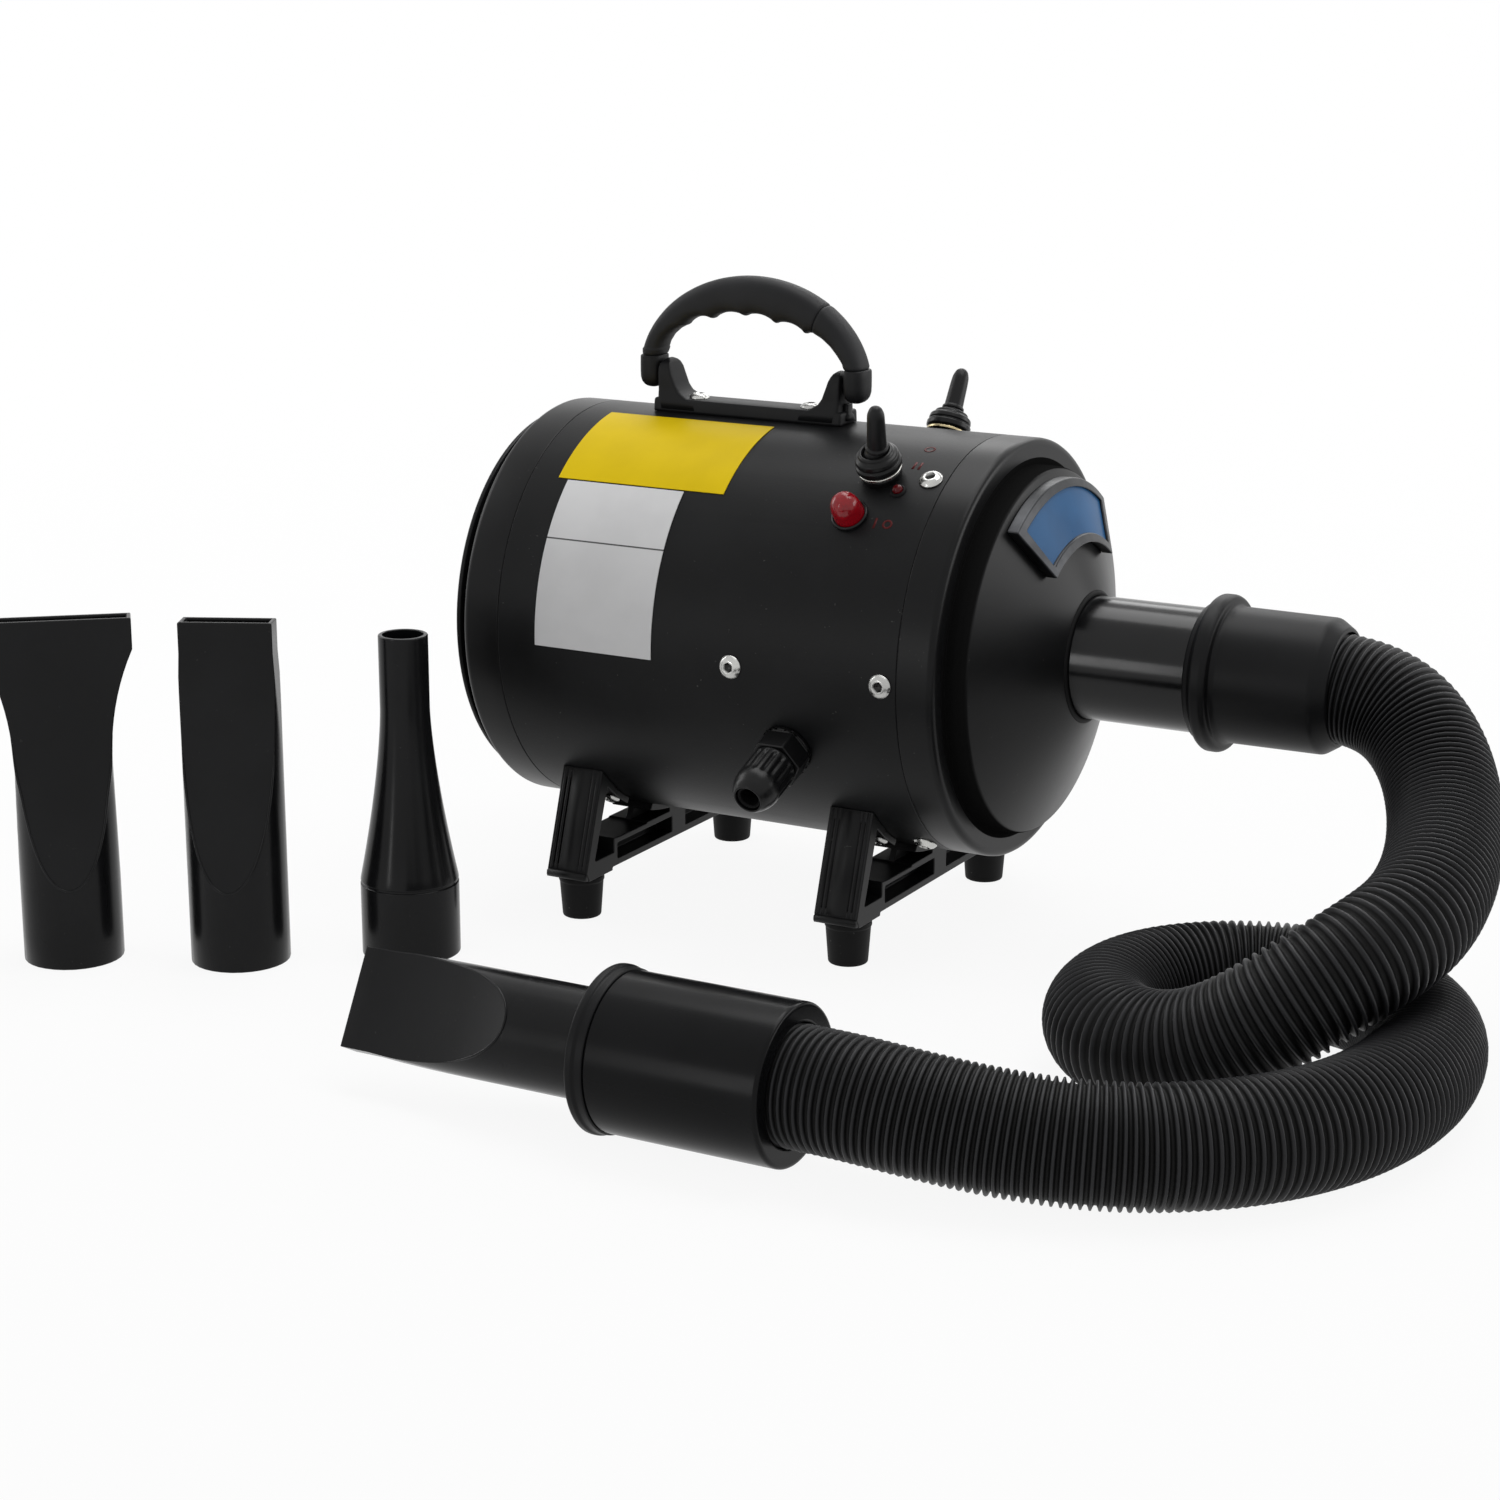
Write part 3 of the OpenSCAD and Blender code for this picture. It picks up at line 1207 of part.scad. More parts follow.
module bearings()
    color("#d0d2d5") for (x = [motor_x, motor_x1 - bearing_w])
        axial_tube(x, x + bearing_w, bearing_r, shaft_r + shaft_fit);

// Carbon brushes in their holders, one above and one below the commutator
module carbon_brushes()
    color("#37383a") for (a = [0, 180])
        on_shell(core_x + core_len + 0.5, a)
            translate([0, -brush_w / 2, commutator_r + 0.3])
                cube([commutator_len - 1, brush_w,
                    sqrt((motor_r - housing_wall) ^ 2 - brush_w ^ 2 / 4) - commutator_r - 0.5]);

// ---- heater and controls ----

module heater_duct()
    color("#a9acb0") turned([
        [duct_x, duct_r - duct_wall], [duct_x, duct_r], [duct_flange_x, duct_r],
        [duct_flange_x, duct_flange_r], [duct_flange_x + duct_wall, duct_flange_r],
        [duct_flange_x + duct_wall, duct_r], [duct_x1, duct_r], [duct_x1, outlet_r - outlet_wall],
        [duct_x1 - duct_wall, outlet_r - outlet_wall], [duct_x1 - duct_wall, duct_r - duct_wall]]);

// Two crossed mica plates
module heater_frame() {
    w = 2 * (duct_r - duct_wall - seat_gap);
    length = duct_x1 - duct_wall - duct_x - 6;
    color("#cfc7ae") translate([duct_x + 4, 0, axis_height]) {
        translate([0, -w / 2, -mica_t / 2]) cube([length, w, mica_t]);
        translate([0, -mica_t / 2, -w / 2]) cube([length, mica_t, w]);
    }
}

// Wire coils laid along the mica plates, two beside each arm of the cross
module heater_coils()
    color("#b0a48a") for (q = [0:3], r = [coil_d * 1.6, coil_d * 3.6])
        translate([duct_x + 8, 0, axis_height]) rotate([90 * q, 0, 0])
            translate([0, r, mica_t / 2 + seat_gap + coil_d / 2]) rotate([0, 90, 0])
                cylinder(d = coil_d, h = duct_x1 - duct_x - 20);

module thermal_cutout()
    color("#e4e2da") on_shell(duct_x + 24, 150) translate([0, 0, duct_r]) cylinder(d = 16, h = 5);

// Speed and heat control board on four pillars against the shell's far side
board_size = [30, 44, 1.6];
board_r = 70;
pillar_edge = 4;                            // from the board's edges to a pillar's middle
coil_box = [7, 12, 9];                      // a component on the board
coil_box_xs = [8, 18];
module control_board()
    color("#2e6b45") on_shell(duct_x + 4, 90) {
        translate([0, -board_size[1] / 2, board_r]) cube(board_size);
        pillar_y = board_size[1] / 2 - pillar_edge - 1;
        for (x = [pillar_edge, board_size[0] - pillar_edge], side = [-1, 1])
            translate([x, side * pillar_y, board_r])
                cylinder(d = shank_d, h = sqrt(bore_r ^ 2 - (pillar_y + shank_d / 2) ^ 2) - board_r);
        for (x = coil_box_xs)
            translate([x, -coil_box[1] / 2, board_r - coil_box[2]]) cube(coil_box);
    }

body_shell();
rear_cap();
rear_disc();
rear_screw();
foam_filter();
front_cover();
badge_frame();
badge_plate();
outlet_tube();
outlet_seal();
hose_cuff();
hose();
far_cuff();
clamp_ring();
nozzle_bush();
fitted_nozzle();
nozzle_wide();
nozzle_narrow();
nozzle_round();
handle_base();
handle_grip();
handle_elbow();
handle_caps();
hinge_pins();
base_screws();
switch_bodies();
switch_collars();
switch_washers();
boot_nuts();
lever_near();
lever_far();
lamp_body();
lamp_lens();
shell_screws();
gland_body();
gland_cap();
gland_seal();
gland_locknut();
leg_bracket_rear();
leg_bracket_front();
feet();
foot_screws();
bracket_screws();
caution_label();
rating_label();
fan_housing();
fan_cushion();
impellers();
motor_housing();
motor_mount();
stator();
rotor_core();
motor_shaft();
bearings();
carbon_brushes();
heater_duct();
heater_frame();
heater_coils();
thermal_cutout();
control_board();
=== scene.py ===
import json
import math
import bmesh
import bpy
import numpy as np
from mathutils import Matrix, Vector


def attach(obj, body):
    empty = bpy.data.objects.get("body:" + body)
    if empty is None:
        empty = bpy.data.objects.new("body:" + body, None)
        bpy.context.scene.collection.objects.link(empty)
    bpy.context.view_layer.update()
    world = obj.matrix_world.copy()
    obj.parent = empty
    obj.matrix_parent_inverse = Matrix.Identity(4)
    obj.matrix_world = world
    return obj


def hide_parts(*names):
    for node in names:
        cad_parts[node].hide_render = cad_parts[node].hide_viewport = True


# %% [markdown]
# # A pet dryer
# A groomer's blower is a steel tube with a motor, a fan and a heater in it. Air goes in through a slot
# at the back, is warmed, and leaves through a ribbed hose that ends in a nozzle. This lesson dresses
# an exact construction model of it. That model could be rendered as it is, but its edges are sharp
# and it has no finishes, so each visible piece is rounded, turned or lofted here in the same place.

# %% Load the construction model
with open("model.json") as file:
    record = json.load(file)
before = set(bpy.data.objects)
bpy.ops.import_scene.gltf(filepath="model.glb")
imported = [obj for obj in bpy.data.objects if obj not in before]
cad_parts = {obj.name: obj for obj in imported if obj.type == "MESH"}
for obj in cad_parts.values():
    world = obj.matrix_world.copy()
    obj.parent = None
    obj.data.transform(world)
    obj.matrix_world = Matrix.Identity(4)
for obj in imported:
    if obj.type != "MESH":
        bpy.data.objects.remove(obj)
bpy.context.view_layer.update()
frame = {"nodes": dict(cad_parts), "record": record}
scene = bpy.context.scene
mm = 0.001
shell_r, axis_z = 87.5, 125
body_of = {node: body for body, nodes in frame["record"]["behaviour"]["bodies"].items() for node in nodes}
slot_of = {part["node"]: part["material_slot"] for part in frame["record"]["subparts"]}

# %% [markdown]
# ## Camera
# The dryer is seen from its front right, a little above. The camera could be aimed with a constraint,
# but fixed numbers keep the picture the same however the pieces change. A long lens keeps the round
# covers round.

# %% Camera
camera_data = bpy.data.cameras.new("camera")
camera_data.lens = 76.73
camera_data.sensor_width = 36
camera = bpy.data.objects.new("camera", camera_data)
camera.location = (0.6398, -1.1854, 0.4320)
camera.rotation_euler = [math.radians(turn) for turn in (74.83, 0, 29.12)]
scene.collection.objects.link(camera)
scene.camera = camera
print("camera at", tuple(round(v, 3) for v in camera.location))

# %% [markdown]
# ## Sockets that add up
# Both finishes and repeated shapes are drawn with nodes. Linking nodes by hand takes many lines, so a
# small class wraps one socket: an expression such as `1 - mask * 0.5` then adds the Math nodes that
# it needs. Every other node comes from one method that takes its type, its settings and its sockets.

# %% Wire and Graph
class Wire:
    """An output socket that can be used in sums."""
    def __init__(self, graph, socket):
        self.graph, self.socket = graph, socket
    def math(self, operation, *values):
        return self.graph.node("ShaderNodeMath", {"operation": operation}, dict(enumerate(values)))
    def __add__(self, other): return self.math("ADD", self, other)
    def __sub__(self, other): return self.math("SUBTRACT", self, other)
    def __rsub__(self, other): return self.math("SUBTRACT", other, self)
    def __mul__(self, other): return self.math("MULTIPLY", self, other)
    def __gt__(self, other): return self.math("GREATER_THAN", self, other)
    def __lt__(self, other): return self.math("LESS_THAN", self, other)
    def __abs__(self): return self.math("ABSOLUTE", self)
    __radd__ = __add__
    __rmul__ = __mul__

class Graph:
    """The nodes of one finish or of one geometry tree."""
    def __init__(self, tree):
        self.tree = tree
    def node(self, kind, settings=None, sockets=None, out=0):
        made = self.tree.nodes.new(kind)
        for key, value in (settings or {}).items():
            setattr(made, key, value)
        for key, value in (sockets or {}).items():
            if isinstance(value, Wire):
                self.tree.links.new(value.socket, made.inputs[key])
            else:
                made.inputs[key].default_value = value
        return Wire(self, made.outputs[out]) if made.outputs else made

# %% [markdown]
# ## Route of the hose
# The hose leaves the cuff on the dryer's axis, drops to the floor, goes once round in a loop that it
# crosses over, and comes back to a far cuff that lies in front of the dryer. Its centre line is a
# cubic B-spline, the curve that the construction model uses, so both follow the same line. A Bezier
# curve could look alike, but it would not lie in the same place.

# %% Centre line of the hose
hose_route = [
    (209, 0, 125), (231, 0, 125), (254, 0, 125), (274, -2, 119), (291, -14, 105), (303, -36, 91),
    (311, -62, 82), (316, -90, 76), (316, -116, 70), (306, -139, 63), (288, -154, 50), (268, -161, 34),
    (246, -163, 24), (223, -158, 22), (206, -142, 22), (200, -119, 22), (204, -96, 22), (216, -78, 22),
    (233, -65, 22), (255, -58, 22), (278, -61, 22), (300, -72, 22), (317, -92, 22), (326, -119, 22),
    (328, -150, 22), (322, -183, 22), (307, -213, 22), (284, -237, 22), (256, -253, 22), (225, -263, 24),
    (194, -270, 28), (170, -273, 31), (150, -273, 31), (132, -273, 31), (114, -273, 31)]

def spline_points(route, steps):
    """Points of a cubic B-spline that starts and ends on its first and last point."""
    p = np.array(route, float) * mm
    p = np.vstack([2 * p[0] - p[1], p, 2 * p[-1] - p[-2]])
    points = []
    for span in range(len(p) - 3):
        for u in np.arange(steps) / steps:
            weights = np.array([(1 - u) ** 3, 3 * u ** 3 - 6 * u ** 2 + 4,
                                -3 * u ** 3 + 3 * u ** 2 + 3 * u + 1, u ** 3]) / 6
            points.append(weights @ p[span:span + 4])
    return np.array(points + [np.array(route[-1], float) * mm])

centre = spline_points(hose_route, 40)
along = np.concatenate([[0], np.cumsum(np.linalg.norm(np.diff(centre, axis=0), axis=1))])
hose_length = along[-1]
print("hose length", round(hose_length, 4), "m")

# %% [markdown]
# ## Ribs of the hose
# The hose is a blow-moulded bellows: thin fins with narrow grooves between them. Pushed together they
# stand under 3 mm apart, and where the hose is stretched over itself nearly 4 mm. A texture could
# fake the ribs, but not their outline. So the centre line gets eight points to a rib, each with its
# place in the rib, and a geometry tree turns that into a radius and sweeps a circle along the line.

# %% Points along the ribs
pitch_stations = [(0, 2.7), (0.04, 2.7), (0.1, 3.0), (0.16, 3.2), (0.23, 3.6), (0.31, 3.9), (0.37, 3.6),
                  (0.5, 3.2), (0.62, 3.2), (0.8, 3.1), (0.9, 2.9), (1, 2.7)]
rib_steps = 8
share, pitch = np.array(pitch_stations).T
fine_s = np.linspace(0, hose_length, 8000)
rate = 1 / (np.interp(fine_s / hose_length, share, pitch) * mm)
ribs_up_to = np.concatenate([[0], np.cumsum((rate[1:] + rate[:-1]) / 2 * np.diff(fine_s))])
rib_count = round(ribs_up_to[-1])
ribs_up_to *= rib_count / ribs_up_to[-1]
rib_place = np.arange(rib_count * rib_steps + 1) / rib_steps
ring_s = np.interp(rib_place, ribs_up_to, fine_s)
ring_at = np.stack([np.interp(ring_s, along, centre[:, k]) for k in range(3)], 1)
carrier = bpy.data.meshes.new("hose line")
carrier.from_pydata(ring_at.tolist(), [(k, k + 1) for k in range(len(ring_at) - 1)], [])
carrier.attributes.new("rib_place", "FLOAT", "POINT").data.foreach_set("value", rib_place % 1)
print("ribs", rib_count)

# %% Geometry trees and how one is run
def new_tree(name, **inputs):
    """A geometry tree whose named inputs are sizes, shapes or finishes."""
    tree = bpy.data.node_groups.new(name, "GeometryNodeTree")
    tree.interface.new_socket("Geometry", in_out="OUTPUT", socket_type="NodeSocketGeometry")
    tree.interface.new_socket("Geometry", in_out="INPUT", socket_type="NodeSocketGeometry")
    for key, kind in inputs.items():
        tree.interface.new_socket(key.replace("_", " "), in_out="INPUT", socket_type="NodeSocket" + kind)
    graph = Graph(tree)
    start = tree.nodes.new("NodeGroupInput")
    return graph, {socket.name: Wire(graph, socket) for socket in start.outputs if socket.name}

def end_tree(graph, geometry, finish):
    """Real geometry with its finish: instances would be lost when the model is exported."""
    real = graph.node("GeometryNodeRealizeInstances", None, {0: geometry})
    dressed = graph.node("GeometryNodeSetMaterial", None, {"Geometry": real, "Material": finish})
    graph.node("NodeGroupOutput", None, {0: dressed})

def grown(name, graph, carrier_mesh, **values):
    """The plain mesh that a tree makes of a carrier."""
    carrier_object = bpy.data.objects.new(name, carrier_mesh)
    scene.collection.objects.link(carrier_object)
    modifier = carrier_object.modifiers.new("grow", "NODES")
    modifier.node_group = graph.tree
    for item in graph.tree.interface.items_tree:
        key = item.name.replace(" ", "_")
        if item.in_out == "INPUT" and key in values:
            modifier[item.identifier] = values[key]
    evaluated = carrier_object.evaluated_get(bpy.context.evaluated_depsgraph_get())
    mesh = bpy.data.meshes.new_from_object(evaluated)
    carrier_object.modifiers.remove(modifier)
    bpy.data.objects.remove(carrier_object)
    return mesh

def in_scene(name, mesh):
    made = bpy.data.objects.new(name, mesh)
    scene.collection.objects.link(made)
    return made

# %% The tree of the ribs
crest_share, groove_share = 0.08, 0.36  # of the pitch, from the rib's middle
rib_tree, rib_in = new_tree("hose ribs", Crest_radius="Float", Groove_radius="Float",
                            Bore_radius="Float", Bore_rings="Int", Sides="Int", Finish="Material")
place_in_rib = rib_tree.node("GeometryNodeInputNamedAttribute", {"data_type": "FLOAT"}, {"Name": "rib_place"})
ridge = rib_tree.node("ShaderNodeMapRange", {"interpolation_type": "SMOOTHSTEP"}, {
    "Value": abs(place_in_rib - 0.5), "From Min": crest_share, "From Max": groove_share,
    "To Min": 1.0, "To Max": 0.0})
# the crest value also steers the hose finish's painted groove shade and crest sheen
marked = rib_tree.node("GeometryNodeStoreNamedAttribute", {"data_type": "FLOAT", "domain": "POINT"}, {
    "Geometry": rib_in["Geometry"], "Name": "crest", "Value": ridge})
line = rib_tree.node("GeometryNodeMeshToCurve", None, {0: marked})
circle = rib_tree.node("GeometryNodeCurvePrimitiveCircle", None, {
    "Resolution": rib_in["Sides"], "Radius": 1.0})
outer_radius = rib_in["Groove radius"] + (rib_in["Crest radius"] - rib_in["Groove radius"]) * ridge
skin = rib_tree.node("GeometryNodeCurveToMesh", None, {
    "Curve": line, "Profile Curve": circle, "Scale": outer_radius})
plain_line = rib_tree.node("GeometryNodeResampleCurve", None, {"Curve": line, "Count": rib_in["Bore rings"]})
bore = rib_tree.node("GeometryNodeCurveToMesh", None, {
    "Curve": plain_line, "Profile Curve": circle, "Scale": rib_in["Bore radius"]})
inward = rib_tree.node("GeometryNodeFlipFaces", None, {0: bore})
both = rib_tree.tree.nodes.new("GeometryNodeJoinGeometry")
for wire in (skin, inward):
    rib_tree.tree.links.new(wire.socket, both.inputs[0])
end_tree(rib_tree, Wire(rib_tree, both.outputs[0]), rib_in["Finish"])
print("rib tree has", len(rib_tree.tree.nodes), "nodes")

# %% [markdown]
# ## Finishes
# Nearly everything here is black, so the pieces are told apart by gloss and grain: powder paint with
# a fine orange peel on the shell, satin moulded nylon on the covers and nozzles, smooth gloss on the
# tubes, matt grip plastic and rubber. One black with one roughness would make them a single lump.
# Each finish mixes two tones over a broad noise and has its own fine bump.

# %% Finish: a material with a few shorthands
def grey(value):
    return (value, value, value, 1.0)

class Finish(Graph):
    """A material. Patterns read object coordinates, in metres."""
    def __init__(self, name):
        self.material = bpy.data.materials.new(name)
        self.material.use_nodes = True
        super().__init__(self.material.node_tree)
        self.tree.nodes.clear()
        self.place = self.node("ShaderNodeTexCoord", out="Object")
    def noise(self, scale, detail=2.0, stretch=(1, 1, 1)):
        place = self.place
        if stretch != (1, 1, 1):
            place = self.node("ShaderNodeMapping", None, {"Vector": place, "Scale": stretch})
        return self.node("ShaderNodeTexNoise", None, {"Vector": place, "Scale": scale, "Detail": detail})
    def mix(self, factor, low, high):
        return self.node("ShaderNodeMix", {"data_type": "RGBA"}, {0: factor, 6: low, 7: high}, out=2)
    def band(self, value, low, high):
        """0 below low, 1 above high, smooth between."""
        return self.node("ShaderNodeMapRange", {"interpolation_type": "SMOOTHSTEP"},
                         {"Value": value, "From Min": low, "From Max": high})
    def bump(self, height, depth, strength=1.0):
        return self.node("ShaderNodeBump", None, {"Height": height, "Distance": depth, "Strength": strength})
    def surface(self, painted_recess_shade=None, **sockets):
        """The finish's shader; where the recess mask is 1, a flat black diffuse is painted in as shade."""
        names = {key.replace("_", " "): value for key, value in sockets.items()}
        shader = self.node("ShaderNodeBsdfPrincipled", None, names)
        if isinstance(painted_recess_shade, Wire):
            black = self.node("ShaderNodeBsdfDiffuse", None, {"Color": grey(0.008)})
            shader = self.node("ShaderNodeMixShader", None, {0: painted_recess_shade, 1: shader, 2: black})
        self.node("ShaderNodeOutputMaterial", None, {"Surface": shader})
        return self.material

# %% Moulded, painted and rubber blacks
def plastic(name, tone, roughness, grain, grain_size, specular, speck=0.0, painted_recess_shade=None):
    """Black moulding: grain is the bump's depth in mm, grain_size its spacing, speck how much dust shows.
    A recess gets painted shade: a flat black from one X to another, within a radius of the blower's axis."""
    f = Finish(name)
    broad, fine = f.noise(24, 3), f.noise(1 / (grain_size * mm), 2)
    low, high = np.array(tone) * 0.82, np.array(tone) * 1.22
    colour = f.mix(f.band(broad, 0.35, 0.65), (*low, 1), (*high, 1))
    if speck:
        dust = f.band(f.noise(700, 1), 0.72, 0.78) * f.band(f.noise(90, 1), 0.5, 0.7)
        colour = f.mix(dust * speck, colour, (0.16, 0.16, 0.15, 1))
    # painted shade: inside the recess band the finish turns flat black
    shade = None
    if painted_recess_shade:
        from_x, to_x, within = (value * mm for value in painted_recess_shade)
        x = f.node("ShaderNodeSeparateXYZ", None, {0: f.place}, out="X")
        round_axis = f.node("ShaderNodeMapping", None, {
            "Vector": f.place, "Location": (0, 0, -axis_z * mm), "Scale": (0, 1, 1)})
        radius = f.node("ShaderNodeVectorMath", {"operation": "LENGTH"}, {0: round_axis}, out="Value")
        shade = f.band(x, from_x, from_x + mm) * (1 - f.band(x, to_x - mm, to_x)) * (radius < within)
    uneven = (broad - 0.5) * 0.12 + (fine - 0.5) * 0.06
    return f.surface(shade, Base_Color=colour, Roughness=roughness + uneven,
                     Normal=f.bump(fine, grain * mm), Specular_IOR_Level=specular)

finishes = {
    "shell_paint": plastic("powder paint", (0.0052, 0.0054, 0.0058), 0.40, 0.030, 0.9, 0.13, speck=0.25),
    # the boss wall at the cone's foot gets painted shade, a flat black band
    "cover_plastic": plastic("satin cover", (0.0052, 0.0053, 0.0057), 0.33, 0.012, 0.5, 0.14, speck=0.2,
                             painted_recess_shade=(109.0, 119.5, 79.5)),
    "trim_plastic": plastic("matt trim", (0.0090, 0.0092, 0.0098), 0.48, 0.020, 0.5, 0.14),
    "leg_plastic": plastic("semi-matt leg", (0.0068, 0.0069, 0.0073), 0.38, 0.014, 0.5, 0.15, speck=0.2),
    "grip_plastic": plastic("soft grip", (0.0155, 0.0157, 0.0168), 0.55, 0.026, 0.45, 0.16),
    "cuff_plastic": plastic("matt cuff", (0.0052, 0.0053, 0.0058), 0.40, 0.016, 0.45, 0.12),
    "tube_plastic": plastic("gloss tube", (0.0045, 0.0046, 0.0050), 0.17, 0.004, 1.6, 0.26),
    # painted shade: a darker, duller black for the far cuff alone, in place of its slot's finish
    "far_tube": plastic("far tube", (0.0038, 0.0039, 0.0043), 0.24, 0.005, 1.6, 0.10),
    "nozzle_plastic": plastic("satin nozzle", (0.0056, 0.0057, 0.0062), 0.21, 0.006, 0.6, 0.15, speck=0.1),
    "foot_rubber": plastic("foot rubber", (0.0080, 0.0080, 0.0082), 0.58, 0.030, 0.5, 0.12, speck=0.4),
    "black_rubber": plastic("seal rubber", (0.0040, 0.0040, 0.0042), 0.62, 0.020, 0.5, 0.1),
    "lever_rubber": plastic("boot rubber", (0.0080, 0.0081, 0.0086), 0.38, 0.014, 0.4, 0.18),
    "nut_plastic": plastic("nut nylon", (0.0050, 0.0051, 0.0054), 0.30, 0.008, 0.4, 0.20),
    "dark_lens": plastic("dark lens", (0.075, 0.0012, 0.003), 0.22, 0.004, 0.8, 0.2),
    "mark_red": plastic("printed red", (0.075, 0.010, 0.010), 0.45, 0.004, 0.5, 0.1),
}
print("black finishes", len(finishes))

# %% Hose finish
def hose_finish():
    """Painted shade darkens the grooves to near black; the crests are lighter, partly dust and partly painted
    sheen.
    """
    f = Finish("hose bellows")
    crest = f.node("ShaderNodeAttribute", {"attribute_name": "crest"}, out="Fac")
    fine, broad = f.noise(1300, 2), f.noise(30, 2)
    # crest tone: dust and painted sheen
    rim = f.mix(f.band(broad, 0.3, 0.7), (0.0125, 0.0127, 0.0140, 1), (0.0180, 0.0183, 0.0200, 1))
    # painted shade: the grooves go near black
    colour = f.mix(f.band(crest, 0.3, 1.0), (0.0010, 0.0010, 0.0011, 1), rim)
    return f.surface(Base_Color=colour, Roughness=0.62 - crest * 0.2 + (broad - 0.5) * 0.1,
                     Normal=f.bump(fine, 0.012 * mm), Specular_IOR_Level=0.18)
finishes["hose_plastic"] = hose_finish()

# %% [markdown]
# ## Metals, films and the lens
# Screws are zinc plated, so they are bright with a faint brushed grain. The far toggle's washer has
# yellowed, and a mix over the width of the dryer gives each washer its own tint. Films are printed
# colour, left without words. The lens is a clear red dome.

# %% Metals
def metal(name, low, high, roughness, grain=0.004, scale=260, stretch=(1, 1, 1), tint=None, painted_socket_shade=0.0):
    """Plated or bare metal: tint is the far washer's colour, and the pit value paints shade: a near black on
    the points that the mesh marks.
    """
    f = Finish(name)
    streak = f.noise(scale, 4, stretch)
    stain = f.noise(60, 3)
    colour = f.mix(f.band(stain, 0.35, 0.7), (*low, 1), (*high, 1))
    if tint:
        across = f.node("ShaderNodeSeparateXYZ", None, {0: f.place}, out="Y")
        colour = f.mix(f.band(across, -0.02, 0.02), colour, (*tint, 1))
    # painted shade: marked points turn near black
    if painted_socket_shade:
        marked = f.node("ShaderNodeAttribute", {"attribute_name": "painted_socket_shade"}, out="Fac")
        colour = f.mix(marked * painted_socket_shade, colour, grey(0.012))
    return f.surface(Base_Color=colour, Metallic=0.95, Roughness=roughness + (streak - 0.5) * 0.2,
                     Normal=f.bump(streak, grain * mm))

finishes.update({
    # the screw sockets get painted shade
    "bright_screw": metal("zinc screw", (0.40, 0.40, 0.39), (0.56, 0.56, 0.54), 0.26, painted_socket_shade=0.96),
    "washer_metal": metal("plated washer", (0.55, 0.54, 0.50), (0.75, 0.74, 0.70), 0.26,
                          tint=(0.50, 0.42, 0.25)),
    "steel": metal("turned steel", (0.34, 0.34, 0.35), (0.52, 0.52, 0.53), 0.32, stretch=(1, 6, 6)),
    "frame_silver": metal("dark badge frame", (0.024, 0.025, 0.027), (0.042, 0.043, 0.046), 0.36),
    "core_steel": metal("laminations", (0.20, 0.20, 0.21), (0.34, 0.34, 0.36), 0.45, 0.03, 90, (14, 1, 1)),
    "winding": metal("copper winding", (0.36, 0.12, 0.045), (0.55, 0.20, 0.08), 0.38, 0.06, 300, (1, 6, 6)),
    "sheet_aluminium": metal("sheet aluminium", (0.50, 0.51, 0.52), (0.66, 0.67, 0.68), 0.40, 0.01, 120,
                             (1, 9, 9)),
    "heater_wire": metal("heater wire", (0.20, 0.18, 0.16), (0.34, 0.31, 0.28), 0.45, 0.12, 700, (9, 1, 1)),
})
print("finishes so far", len(finishes))

# %% Films, lens and inner materials
def film(name, low, high, roughness, rules=(), rule_tone=0.03):
    """Printed film on the shell: rules are pairs of heights in mm between which a line is printed."""
    f = Finish(name)
    broad, fine = f.noise(40, 3), f.noise(900, 2)
    colour = f.mix(f.band(broad, 0.3, 0.7), (*low, 1), (*high, 1))
    height = f.node("ShaderNodeSeparateXYZ", None, {0: f.place}, out="Z")
    for bottom, top in rules:
        line_here = (height > bottom * mm) * (height < top * mm)
        colour = f.mix(line_here, colour, grey(rule_tone))
    return f.surface(Base_Color=colour, Roughness=roughness + (broad - 0.5) * 0.1,
                     Normal=f.bump(fine + broad * 2, 0.006 * mm), Specular_IOR_Level=0.08)

def stuff(name, low, high, roughness, scale, depth, stretch=(1, 1, 1)):
    """Foam, mica, ceramic, carbon and board: two tones with a coarse structure."""
    f = Finish(name)
    grain = f.noise(scale, 4, stretch)
    colour = f.mix(f.band(grain, 0.35, 0.65), (*low, 1), (*high, 1))
    return f.surface(Base_Color=colour, Roughness=roughness + (grain - 0.5) * 0.2,
                     Normal=f.bump(grain, depth * mm))

def lens_finish():
    f = Finish("red lens")
    depth = f.noise(300, 2)
    colour = f.mix(f.band(depth, 0.35, 0.65), (0.19, 0.0010, 0.005, 1), (0.23, 0.0014, 0.006, 1))
    return f.surface(Base_Color=colour, Roughness=0.17 + (depth - 0.5) * 0.04, Specular_IOR_Level=0.3,
                     Normal=f.bump(depth, 0.003 * mm), Coat_Weight=0.15, Coat_Roughness=0.1,
                     Emission_Color=(0.5, 0.004, 0.016, 1), Emission_Strength=0.05)

